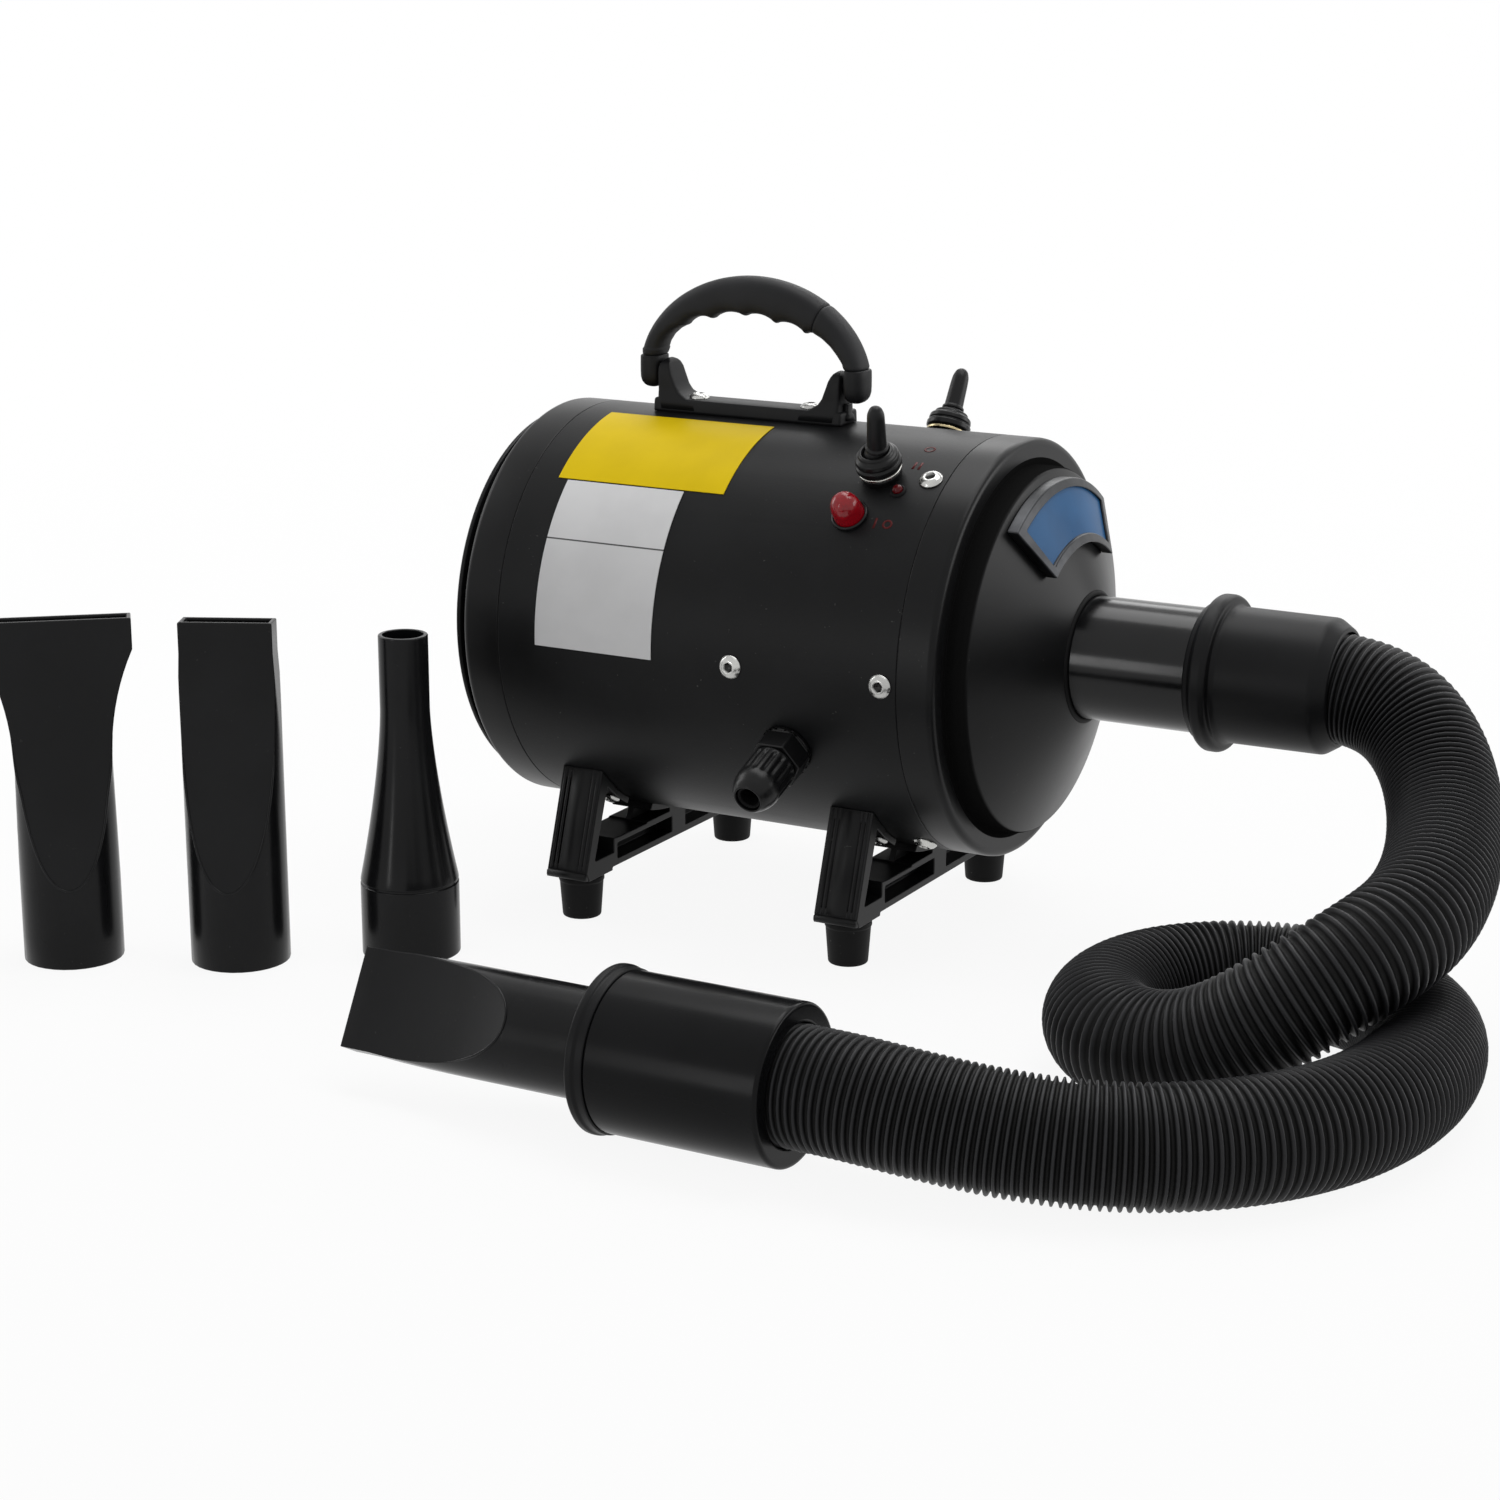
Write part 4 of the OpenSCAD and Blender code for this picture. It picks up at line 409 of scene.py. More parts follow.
finishes.update({
    "badge_blue": film("blue plate", (0.014, 0.078, 0.195), (0.020, 0.098, 0.235), 0.30),
    "caution_film": film("yellow film", (0.64, 0.455, 0.002), (0.69, 0.495, 0.003), 0.42),
    "rating_film": film("silver film", (0.61, 0.61, 0.615), (0.65, 0.65, 0.655), 0.34, [(167.2, 167.8)], 0.1),
    "red_lens": lens_finish(),
    "foam": stuff("filter foam", (0.010, 0.010, 0.010), (0.030, 0.030, 0.030), 0.9, 500, 0.6),
    "mica": stuff("mica sheet", (0.34, 0.24, 0.14), (0.52, 0.40, 0.26), 0.35, 160, 0.03, (1, 4, 1)),
    "ceramic": stuff("cut-out ceramic", (0.62, 0.58, 0.50), (0.74, 0.71, 0.64), 0.5, 400, 0.02),
    "carbon": stuff("brush carbon", (0.010, 0.010, 0.011), (0.022, 0.022, 0.023), 0.6, 600, 0.04),
    "board_green": stuff("board lacquer", (0.010, 0.075, 0.030), (0.016, 0.110, 0.045), 0.3, 220, 0.02),
})
for node, obj in frame["nodes"].items():
    obj.data.materials.clear()
    obj.data.materials.append(finishes[slot_of[node]])
print("finishes", len(finishes), "on", len(frame["nodes"]), "nodes")

# %% [markdown]
# ## The hose itself
# The sweep leaves two open rims at each end, one round the skin and one round the bore. Bridging them
# closes the wall, so the hose is a real tube that could be printed. The cuffs, the clamp ring and the
# nozzle go with it when it is pulled off.

# %% Make the hose
hose_d = 44 * mm
hose_mesh = grown("hose", rib_tree, carrier, Crest_radius=hose_d / 2, Groove_radius=20.0 * mm,
                  Bore_radius=18 * mm, Bore_rings=240, Sides=34, Finish=finishes["hose_plastic"])

def face_outwards(bm):
    """Turns every face outwards and shades it smoothly."""
    bmesh.ops.recalc_face_normals(bm, faces=bm.faces)
    if bm.calc_volume(signed=True) < 0:
        bmesh.ops.reverse_faces(bm, faces=bm.faces)
    for face in bm.faces:
        face.smooth = True

def close_rims(mesh):
    """Bridges the skin's rim to the bore's rim at either end."""
    bm = bmesh.new()
    bm.from_mesh(mesh)
    rims = [edge for edge in bm.edges if edge.is_boundary]
    for end in (ring_at[0], ring_at[-1]):
        near = [edge for edge in rims if (edge.verts[0].co - Vector(end)).length < hose_d]
        bmesh.ops.bridge_loops(bm, edges=near)
    face_outwards(bm)
    open_edges = sum(edge.is_boundary for edge in bm.edges)
    bm.to_mesh(mesh)
    bm.free()
    return open_edges

print("open edges after bridging", close_rims(hose_mesh))
hose = in_scene("air_hose", hose_mesh)
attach(hose, "hose_line")
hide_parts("hose")
print("hose faces", len(hose_mesh.polygons))

# %% [markdown]
# ## Turned pieces
# Tubes, cuffs, nuts, feet and lenses are round, so each is a profile turned about an axis. A Screw
# modifier could do that, but writing the rings out keeps the wall closed and lets every corner be
# rounded by its own radius. Points a little outside each round keep the flats flat in the shading.

# %% Round a profile's corners
longest_round, least_round = 0.42, 0.02  # as a share of the shorter side, and in mm
guard = 1.15  # how far out the points beside a round lie, in radii

def rounded(profile, radius, steps=4):
    """A closed profile of (along, out) in mm; a third number in a point is that corner's own radius."""
    points = []
    count = len(profile)
    for k, here in enumerate(profile):
        corner = np.array(here[:2], float)
        before, after = (np.array(profile[(k + d) % count][:2], float) - corner for d in (-1, 1))
        lengths = np.linalg.norm(before), np.linalg.norm(after)
        r = min(here[2] if len(here) > 2 else radius, min(lengths) * longest_round)
        if r < least_round:
            points.append(corner)
            continue
        to_start, to_end = before / lengths[0] * r, after / lengths[1] * r
        points.append(corner + to_start * guard)
        for u in np.linspace(0, 1, steps + 1):
            points.append(corner + (1 - u) ** 2 * to_start + u ** 2 * to_end)
        points.append(corner + to_end * guard)
    return np.array(points)

# %% Places on the dryer
def at(x, y, z):
    """The place of a point in mm."""
    return Matrix.Translation(Vector((x, y, z)) * mm)

def spun(degrees, axis):
    return Matrix.Rotation(math.radians(degrees), 4, axis)

def along_x(x, y, z):
    """Where a shape drawn along +Z is laid along +X."""
    return at(x, y, z) @ spun(90, "Y")

def on_shell(x, angle, lift=0.0):
    """Where a shape drawn along +Z stands on the shell: angle is from the top, towards the far side."""
    return at(x, 0, axis_z) @ spun(-angle, "X") @ at(0, 0, lift)

# %% Closed forms from rings
def as_mesh(name, bm):
    mesh = bpy.data.meshes.new(name)
    bm.to_mesh(mesh)
    bm.free()
    return mesh

def mesh_from(name, points, faces, place=Matrix.Identity(4)):
    """A closed smooth mesh from points in mm, its faces turned outwards."""
    bm = bmesh.new()
    verts = [bm.verts.new(place @ (Vector(p) * mm)) for p in points]
    for face in faces:
        bm.faces.new([verts[k] for k in face])
    bmesh.ops.remove_doubles(bm, verts=bm.verts, dist=1e-7)
    face_outwards(bm)
    return as_mesh(name, bm)

def loft(name, rings, place=Matrix.Identity(4), round_again=False):
    """Rings of equal count, in mm, joined in order. The ends are closed, or the last meets the first."""
    n, count = len(rings[0]), len(rings)
    points = [p for ring in rings for p in ring]
    faces = [(k * n + j, k * n + (j + 1) % n, (k + 1) % count * n + (j + 1) % n, (k + 1) % count * n + j)
             for k in range(count if round_again else count - 1) for j in range(n)]
    for end in () if round_again else (0, count - 1):
        points.append(np.mean(rings[end], axis=0))
        hub = len(points) - 1
        faces += [(end * n + j, end * n + (j + 1) % n, hub) for j in range(n)]
    return mesh_from(name, points, faces, place)

def turned(name, profile, place=Matrix.Identity(4), radius=0.5, sides=96, wave=None):
    """A closed profile turned about local Z. wave(turn, along, out) may change the radius."""
    rim = rounded(profile, radius)
    rings = []
    for turn in np.arange(sides) * 2 * math.pi / sides:
        outs = [wave(turn, *point) if wave else point[1] for point in rim]
        rings.append([(r * math.cos(turn), r * math.sin(turn), p[0]) for r, p in zip(outs, rim)])
    return loft(name, rings, place, round_again=True)

def join(name, *meshes):
    """One mesh of several separate ones."""
    bm = bmesh.new()
    for mesh in meshes:
        bm.from_mesh(mesh)
    return as_mesh(name, bm)

# %% Dressing a piece
def dress(name, mesh, *nodes, slot=None, finish=None, body="blower"):
    """A piece in the scene that stands for construction nodes: it takes their body and the finish of their
    slot, or the finish given, and hides them.
    """
    slot = slot or slot_of[nodes[0]]
    mesh.materials.clear()
    mesh.materials.append(finishes[finish or slot])
    piece = in_scene(name, mesh)
    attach(piece, body_of[nodes[0]] if nodes else body)
    if nodes:
        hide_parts(*nodes)
    return piece

def turn_piece(name, profile, place, *nodes, radius=0.5, sides=96, wave=None, **dressing):
    """A turned form, dressed."""
    return dress(name, turned(name, profile, place, radius, sides, wave), *nodes, **dressing)

# %% [markdown]
# ## Outlet, cuffs and clamp ring
# The hose pushes onto a smooth tube with a moulded cuff. The cuff's collar bulges so that a hand can
# pull it, and its end is chamfered round the hose. At the far end a longer cuff holds the nozzle, and
# a clamp ring covers its mouth. All are turned, with softer corners where the real ones are moulded.

# %% Turn the tubes
far_y, far_z = hose_route[-1][1:]
tube_axis, far_axis = along_x(0, 0, axis_z), along_x(0, far_y, far_z)
turn_piece("outlet_pipe", [
    (112, 23.5), (112, 32.5), (114, 32.5), (114, 25.5), (203, 25.5, 0.8), (203, 23.5)],
    tube_axis, "outlet_tube")
turn_piece("tip_seal", [
    (137.6, 25.5), (137.6, 27.5), (140.2, 27.5, 1.0), (141.0, 26.6, 1.0), (140.8, 25.5)],
    tube_axis, "outlet_seal", radius=0.3)
cuff = turn_piece("cuff", [
    (190.4, 25.75), (190.4, 27.6, 0.8), (193.2, 28.4, 0.6), (193.8, 30.8, 1.2), (195.4, 32.0, 1.8),
    (199.4, 32.0, 1.8), (201.2, 31.0, 1.2), (201.8, 28.2, 0.8), (203.4, 27.6, 0.8), (243, 27.4, 1.2),
    (248.6, 23.8, 0.8), (249, 22.3, 0.3), (209, 22.3), (209, 19.0), (206, 19.0), (206, 25.75)],
    tube_axis, "hose_cuff", sides=128)
# the far cuff wears the darker copy of its finish, painted shade
far_cuff = turn_piece("far_cuff_tube", [
    (81, 26.5), (81, 29.5, 0.6), (150, 29.5, 1.6), (150, 22.3, 1.0), (114, 22.3), (114, 19.0),
    (111, 19.0), (111, 26.5)], far_axis, "far_cuff", radius=0.4, sides=128, finish="far_tube")
ring = turn_piece("mouth_ring", [
    (74, 26.5, 0.5), (74, 31.0, 1.5), (77.0, 31.0, 1.0), (77.8, 30.2, 0.6), (80.9, 30.2, 0.6),
    (80.9, 26.5)], far_axis, "clamp_ring", radius=0.4, sides=128)
print("outlet, cuffs and clamp ring made")

# %% [markdown]
# ## Nozzles
# A flat nozzle starts as a tube and is pressed flat towards its mouth. Each pressed face cuts the round
# in a U-shaped crease with a fine raised line on it. Cutting a tube with two blocks would give the same
# crease, but no control of its shading, so sections are lofted from the foot up and back down inside:
# every section has a corner right on the crease, and its neighbours lie close to it.

# %% Flat nozzles
nozzle_r, nozzle_wall, mouth_depth = 20.5, 1.8, 5.25
scoop_z, neck_z, mouth_foot, nozzle_top = 34, 82, 131, 144
square_from, square_to = 70, 94

def share_of(value, low, high):
    """0 at low, 1 at high, and held there beyond."""
    return min(1.0, max(0.0, (value - low) / (high - low)))

def flat_sizes(z, scoop, neck, mouth, inset=0.0):
    """Round, depth of a face, half width, and how far the section has become a box, at height z."""
    depth = mouth_depth + (nozzle_r - mouth_depth) * (1 - share_of(z, scoop, mouth_foot)) ** 1.9
    narrowing = share_of(z, scoop_z, neck_z)
    spread = share_of(z, neck_z, mouth_foot) ** 2.2
    half = nozzle_r + (neck / 2 - nozzle_r) * narrowing + (mouth - neck) / 2 * spread
    boxy = share_of(z, square_from, square_to) if mouth > 2 * nozzle_r else 0.0
    return nozzle_r - inset, depth - inset, half - inset, boxy * boxy * (3 - 2 * boxy)

def flat_corner(z, *form, inset=0.0):
    """The point where a face meets a side, on the crease."""
    r, depth, half, boxy = flat_sizes(z, *form, inset)
    side = min(half, math.sqrt(max(0.0, r * r - depth * depth)))
    return side + (half - side) * boxy, depth

def flat_section(z, *form, inset=0.0):
    """A section from the crease over one face, down one side, and the same on the other half."""
    r, depth, half, boxy = flat_sizes(z, *form, inset)
    corner_x, _ = flat_corner(z, *form, inset=inset)
    near = max(0.0, corner_x - 0.6)
    face = [(x, depth) for x in [-corner_x, *np.linspace(-near, near, 11)]]
    top_turn = math.asin(min(1.0, depth / r))
    next_turn = top_turn - min(0.03, top_turn / 8)
    side = []
    for turn in [top_turn, *np.linspace(next_turn, -next_turn, 17)]:
        x, y = min(half, r * math.cos(turn)), r * math.sin(turn)
        side.append((x + (half - x) * boxy, y))
    return [(x * k, y * k, z) for k in (1, -1) for x, y in face + side]

def crease_line(scoop, face, *form, top=96, radius=0.55):
    """The raised line on one face's crease, thinner towards its two upper ends."""
    heights = scoop + (top - scoop) * np.linspace(0, 1, 36) ** 2
    half_line = np.array([(*flat_corner(z, scoop, *form), z) for z in heights])
    path = np.vstack([half_line[:0:-1] * (-1, 1, 1), half_line]) * (1, face, 1)
    rings = []
    for here, way in zip(path, np.gradient(path, axis=0)):
        way = way / np.linalg.norm(way)
        out = np.array([here[0], here[1], 0]) / math.hypot(here[0], here[1])
        out = out - way * (out @ way)
        out /= np.linalg.norm(out)
        thick = radius * min(1.0, max(0.12, (top - here[2]) / 14))
        rings.append([here + thick * (out * math.cos(t) + np.cross(way, out) * math.sin(t))
                      for t in np.arange(8) * math.pi / 4])
    return loft("crease", rings)

def flat_nozzle(name, node, place, scoop, neck, mouth):
    """Sections up the outside and down the inside, with rounded rims, and two crease lines."""
    rising = scoop + (mouth_foot - scoop) * np.linspace(0, 1, 34) ** 1.7
    heights = [0, 0.15, 0.6, 12, scoop - 0.4, *rising, 137, 143.3, 143.8, nozzle_top]
    insets = {0: 0.55, 0.15: 0.18, 143.8: 0.15, nozzle_top: 0.45}
    form = (scoop, neck, mouth)
    outside = [flat_section(z, *form, inset=insets.get(z, 0.0)) for z in heights]
    inside = [flat_section(z, *form, inset=nozzle_wall - insets.get(z, 0.0)) for z in reversed(heights)]
    walls = loft(name, outside + inside, round_again=True)
    whole = join(name, walls, *[crease_line(scoop, face, neck, mouth) for face in (1, -1)])
    whole.transform(place)
    return dress(name, whole, node)

narrow_form = (41, 38.5)  # widths of the neck and of the mouth
nozzles = [
    flat_nozzle("wide_slot_nozzle", "nozzle_wide", at(-223, -216, 0) @ spun(40, "Z"), scoop_z, 39.4, 60),
    flat_nozzle("narrow_slot_nozzle", "nozzle_narrow", at(-160, -185, 0) @ spun(26, "Z"), scoop_z,
                *narrow_form)]
fitted_place = at(109.5, far_y, far_z) @ spun(-29, "X") @ spun(-90, "Y")
fitted = flat_nozzle("fitted_slot_nozzle", "fitted_nozzle", fitted_place, 68, *narrow_form)
print("nozzle faces", [len(n.data.polygons) for n in nozzles + [fitted]])

# %% Round nozzle
tip_r, tip_z, flare_r, flare_foot, flare_top = 10.25, 136, 20.3, 33, 105
tube_bore_r = nozzle_r - nozzle_wall

def flare(z):
    """Radius of the round nozzle above its seam."""
    return tip_r + (flare_r - tip_r) * share_of(z, flare_top, flare_foot) ** 1.5

outside = [(0, nozzle_r, 0.8), (30.6, nozzle_r, 0.25), (30.9, 20.0, 0.1), (31.7, 20.0, 0.1),
           (32.0, 20.4, 0.25), (flare_foot, flare_r, 0)]
outside += [(z, flare(z), 0) for z in range(36, 106, 3)]
outside += [(tip_z, tip_r, 0.7), (tip_z, tip_r - nozzle_wall, 0.4)]
inside = [(z, flare(z) - nozzle_wall, 0) for z in range(102, 35, -6)]
inside += [(32, tube_bore_r, 0), (0, tube_bore_r, 0.4)]
turn_piece("round_tip_nozzle", outside + inside, at(-103.5, -142.5, 0), "nozzle_round", radius=0.4)
print("round nozzle has", len(outside + inside), "profile points")

# %% [markdown]
# ## Shell and covers
# The shell is a rolled steel tube between two moulded covers. Where they meet, each edge is rounded
# over, which leaves the thin dark seam line that a sharp model lacks. Most of these pieces are copies
# of the construction model with a bevel on their sharp edges. The front cover is turned instead,
# because each corner of its step, boss and cone has a rounding of its own.

# %% Rounded copies of construction nodes
sharp_angle, flat_angle = math.radians(28), math.radians(0.6)

def soft_copy(name, node, width, steps=2):
    """A merged copy of a node whose sharp edges are rounded by width, in mm."""
    source = frame["nodes"][node].data.copy()
    if "custom_normal" in source.attributes:
        source.attributes.remove(source.attributes["custom_normal"])
    bm = bmesh.new()
    bm.from_mesh(source)
    bmesh.ops.remove_doubles(bm, verts=bm.verts, dist=2e-6)
    bmesh.ops.dissolve_limit(bm, angle_limit=flat_angle, verts=bm.verts, edges=bm.edges)
    weight = bm.edges.layers.float.get("bevel_weight_edge") or bm.edges.layers.float.new("bevel_weight_edge")
    for edge in bm.edges:
        edge[weight] = float(len(edge.link_faces) == 2 and edge.calc_face_angle(0) > sharp_angle)
    for face in bm.faces:
        face.smooth = True
    copy = in_scene(name, as_mesh(name, bm))
    bevel = copy.modifiers.new("round", "BEVEL")
    bevel.width, bevel.segments, bevel.limit_method = width * mm, steps, "WEIGHT"
    bevel.use_clamp_overlap, bevel.harden_normals, bevel.miter_outer = False, True, "MITER_ARC"
    result = bpy.data.meshes.new_from_object(copy.evaluated_get(bpy.context.evaluated_depsgraph_get()))
    bpy.data.objects.remove(copy)
    result.name = name
    return result

def soften(name, node, width, **options):
    return dress(name, soft_copy(name, node, width, **options), node)

# %% Round the shell, covers and badge
soften("shell", "body_shell", 0.5)
soften("rear_ring", "rear_cap", 0.5)
# its satin cover finish paints shade on the boss wall as a flat black band
turn_piece("front_cone", [
    (94, shell_r, 0.5), (110, shell_r, 2.8), (110, 76.5, 0.3), (117, 76.5, 0.8), (119.1, 75.6, 0.8),
    (120, 73.5, 0.6), (140, 27.5, 0.3), (137.6, 27.5, 0.3), (117.6, 72.3, 0.5), (115.8, 74.1, 0.5),
    (107.6, 74.1, 0.3), (107.6, 83.6, 0.3), (80, 83.6, 0.3), (80, 86.0, 0.3), (94, 86.0, 0.2)],
    tube_axis, "front_cover", sides=192)
soften("rear_plate", "rear_disc", 0.5)
soften("badge_surround", "badge_frame", 0.6)
print("shell, covers and badge frame rounded")

# %% [markdown]
# ## Handle
# The grip is a soft arch with finger hollows under it, a shorter elbow of the same section, and two
# end caps that turn on pins in the base's posts. A curve with a bevel cannot change its thickness on
# one side only, so rings are laid between an outer line, half an ellipse, and an inner line that
# carries the hollows. Every ring is a rounded oblong, and the ends are drawn in to leave joint lines.

# %% Sections of the handle
def oblong(half_a, half_b, power, sides=48):
    """A rounded oblong: power 2 is an ellipse, higher powers are squarer."""
    turn = np.linspace(0, 2 * math.pi, sides, endpoint=False)
    return np.stack([half * np.sign(c) * abs(c) ** (2 / power)
                     for half, c in ((half_a, np.cos(turn)), (half_b, np.sin(turn)))], 1)

def read_off(z, table):
    """The value at z in a table of (z, value), straight between its rows."""
    return float(np.interp(z, *zip(*table)))

# %% Grip, elbow and caps
arch_x, hinge_z = -18.35, 228.5
arch_half, arch_rise = 54.35, 43.4
grip_w = 14
finger_bumps = [(-50.9, 249.2), (-37.6, 252.9), (-21.9, 254.9), (-7.0, 252.7), (7.4, 249.2)]
hollow_depth = 2.2

def finger_line():
    """The grip's inner line from the left joint to the elbow, with four hollows between five bumps."""
    line = [(-62.6, 235.8), (-62.3, 238.2), (-61.2, 241.2), (-58.9, 244.4), (-55.4, 247.2), (-52.4, 248.7)]
    for a, b in zip(finger_bumps, finger_bumps[1:]):
        a, b = np.array(a), np.array(b)
        outward = np.array([a[1] - b[1], b[0] - a[0]]) / np.linalg.norm(b - a)
        line += [a + (b - a) * u + outward * hollow_depth * math.sin(math.pi * u) ** 0.7
                 for u in np.arange(12) / 12]
    return np.array(line + [finger_bumps[-1], (9.2, 250.0), (11.2, 249.7)])

def arch_piece(name, inner, turn_a, turn_b, node, ends=(0.6, 0.6), ridge=0.0):
    """A stretch of the arch: inner line, outer line between two turns in degrees, and drawn-in ends."""
    run = np.concatenate([[0], np.cumsum(np.linalg.norm(np.diff(inner, axis=0), axis=1))])
    inset_at = [(0, ends[0]), (0.25, 0.22), (0.8, 0), (2.4, -ridge), (3.2, 0), (run[-1] - 0.8, 0),
                (run[-1] - 0.25, 0.22), (run[-1], ends[1])]
    stops, insets = np.array(inset_at).T
    places = np.unique(np.concatenate([stops, np.arange(1, run[-1] - 1, 0.8)]))
    rings = []
    for place in places:
        low = np.array([np.interp(place, run, inner[:, k]) for k in (0, 1)])
        turn = math.radians(turn_a + (turn_b - turn_a) * place / run[-1])
        high = np.array([arch_x + arch_half * math.cos(turn), hinge_z + arch_rise * math.sin(turn)])
        inset = np.interp(place, stops, insets)
        middle, half = (low + high) / 2, (high - low) / 2
        size = np.linalg.norm(half)
        rings.append([(middle[0] + half[0] / size * v, u, middle[1] + half[1] / size * v)
                      for u, v in oblong(grip_w / 2 - inset, size - inset, 2.5)])
    return dress(name, loft(name, rings), node)

grip_start, joint_turn, elbow_end = 170.3, 50.25, 9.7
arch_piece("grip", finger_line(), grip_start, joint_turn, "handle_grip", ridge=0.35)
elbow_line = np.array([(11.2, 249.7), (15.6, 247.6), (19.6, 244.6), (22.8, 241.2), (25.2, 238.2),
                       (25.9, 235.8)])
arch_piece("elbow", elbow_line, joint_turn, elbow_end, "handle_elbow")

cap_drop = 7.02

def cap(x):
    """An end cap about the middle x: straight above the hinge, rounded below it."""
    rings = []
    for z in (235.7, 235.45, 234.9, 232, hinge_z, 226, 224.2, 222.9, 222.1, 221.7, 221.5):
        below = share_of(z, hinge_z, hinge_z - cap_drop)
        shrink = {235.7: 0.7, 235.45: 0.25, 234.9: 0.05}.get(z, 0.0)
        half_x = 5 * (1 - below ** 3) ** (1 / 2.2) - shrink
        half_y = grip_w / 2 * (1 - below ** 2.6) ** (1 / 2.6) - shrink
        rings.append([(x + u, v, z) for u, v in oblong(max(half_x, 0.3), max(half_y, 0.3), 2.8)])
    return loft("cap", rings)

dress("end_caps", join("end_caps", cap(-67.7), cap(31.0)), "handle_caps")
pin_profile = [(0, 0), (0, 2.5, 0.3), (14.5, 2.5, 0.3), (14.5, 0)]
pins = [turned("pin", pin_profile, along_x(x, 0, hinge_z), 0.3, 32) for x in (-71.5, 20.3)]
dress("pins", join("pins", *pins), "hinge_pins")
print("handle pieces made")

# %% Base of the handle
base_halves = [(211, 8.2), (217, 7.9), (218, 7.6), (220, 7.2), (221.4, 6.9), (230, 6.8), (232.4, 5.6),
               (234, 3.4), (234.6, 1.2)]
outer_side = [(213.5, 0.0), (230, 0.0), (232.4, 0.2), (233.6, 0.9), (234.6, 2.4)]
ramp = [(213.5, 21.5), (216.5, 20), (217.4, 17.5), (218.2, 14.6), (220.4, 10.6), (223, 8.6), (228, 6.6),
        (231, 5.6), (233.6, 4.4), (234.6, 3.2)]

def post(x, way):
    """A post with its outer face at x, slim enough for the folded grip; its ramp goes way along X."""
    rings = []
    for z in (213.5, 216.5, 217.4, 218.2, 219.2, 220.4, 221.4, 223, 225, 228, 230.5, 232.4, 233.6,
              234.3, 234.6):
        near, far = read_off(z, outer_side), read_off(z, ramp)
        section = oblong((far - near) / 2, read_off(z, base_halves), 9)
        rings.append([(x + way * (near + far) / 2 + u, v, z) for u, v in section])
    return loft("post", rings)

plate_half, plate_top = 8, 218

def plate_ring(x, inset):
    """The plate's section across the blower: its underside lies on the shell."""
    top, half = plate_top - inset, plate_half - inset
    under = [(y, axis_z + math.sqrt((shell_r + 0.1) ** 2 - y * y) + inset * 0.5)
             for y in np.linspace(-half, half, 13)]
    over = [(half, 213.4), (half - 0.25, top - 1.0), (half - 0.5, top - 0.3), (half - 1.1, top)]
    return [(x, y, z) for y, z in under + over + [(-y, z) for y, z in reversed(over)]]

posts = [post(-62.4, 1), post(25.7, -1)]
plate = loft("plate", [plate_ring(x, inset) for x, inset in (
    (-63.8, 1.0), (-63.6, 0.45), (-63.2, 0.1), (-62.6, 0), (25.9, 0), (26.5, 0.1), (26.9, 0.45),
    (27.1, 1.0))])
stop_lug = loft("lug", [[(26.6 + u, v, z) for u, v in oblong(a, b, 4, 16)] for z, a, b in [
    (214, 2.2, 3.0), (216.4, 1.9, 2.8), (216.8, 1.1, 2.2), (220.6, 1.1, 2.2), (221.0, 0.8, 1.8)]])
dress("base", join("base", plate, stop_lug, *posts), "handle_base")
print("base has", len(posts), "posts")

# %% [markdown]
# ## Things that stand on the shell
# Screws, feet and other fittings repeat, each turned its own way. Copying objects by hand would work,
# but a geometry tree does it with one shape: it sets the shape on marked points, along the direction
# that each point carries, and gives each a small spin of its own from a fixed seed.

# %% A tree that sets one shape on marked points
def marked_points(name, places):
    """A carrier of loose points; each place is a matrix whose Z axis is the way out."""
    mesh = bpy.data.meshes.new(name)
    mesh.from_pydata([place.translation for place in places], [], [])
    ways = [c for place in places for c in place.to_3x3() @ Vector((0, 0, 1))]
    mesh.attributes.new("way_out", "FLOAT_VECTOR", "POINT").data.foreach_set("vector", ways)
    return mesh

set_tree, set_in = new_tree("shapes on points", Shape="Object", Size="Float", Spin="Float", Seed="Int",
                            Finish="Material")
way = set_tree.node("GeometryNodeInputNamedAttribute", {"data_type": "FLOAT_VECTOR"}, {"Name": "way_out"})
stand_up = set_tree.node("FunctionNodeAlignRotationToVector", {"axis": "Z"}, {"Vector": way})
spin = set_tree.node("FunctionNodeRandomValue", {"data_type": "FLOAT"},
                     {2: 0.0, 3: set_in["Spin"], "Seed": set_in["Seed"]}, out=1)
spin_turn = set_tree.node("FunctionNodeAxisAngleToRotation", None, {"Axis": (0, 0, 1), "Angle": spin})
turned_way = set_tree.node("FunctionNodeRotateRotation", {"rotation_space": "LOCAL"},
                           {0: stand_up, 1: spin_turn})
shape_info = set_tree.node("GeometryNodeObjectInfo", None, {"Object": set_in["Shape"]}, out="Geometry")
stood = set_tree.node("GeometryNodeInstanceOnPoints", None, {
    "Points": set_in["Geometry"], "Instance": shape_info, "Rotation": turned_way, "Scale": set_in["Size"]})
end_tree(set_tree, stood, set_in["Finish"])
print("pattern tree has", len(set_tree.tree.nodes), "nodes")

# %% One shape at several places
def repeated(name, shape_mesh, places, node, size=1.0, spin=0.0, seed=1):
    """A piece of the same shape at several places, for one construction node."""
    pattern = in_scene(name + "_pattern", shape_mesh)
    mesh = grown(name, set_tree, marked_points(name, places), Shape=pattern, Size=size, Spin=spin, Seed=seed,
                 Finish=finishes[slot_of[node]])
    bpy.data.objects.remove(pattern)
    for face in mesh.polygons:
        face.use_smooth = True
    return dress(name, mesh, node)

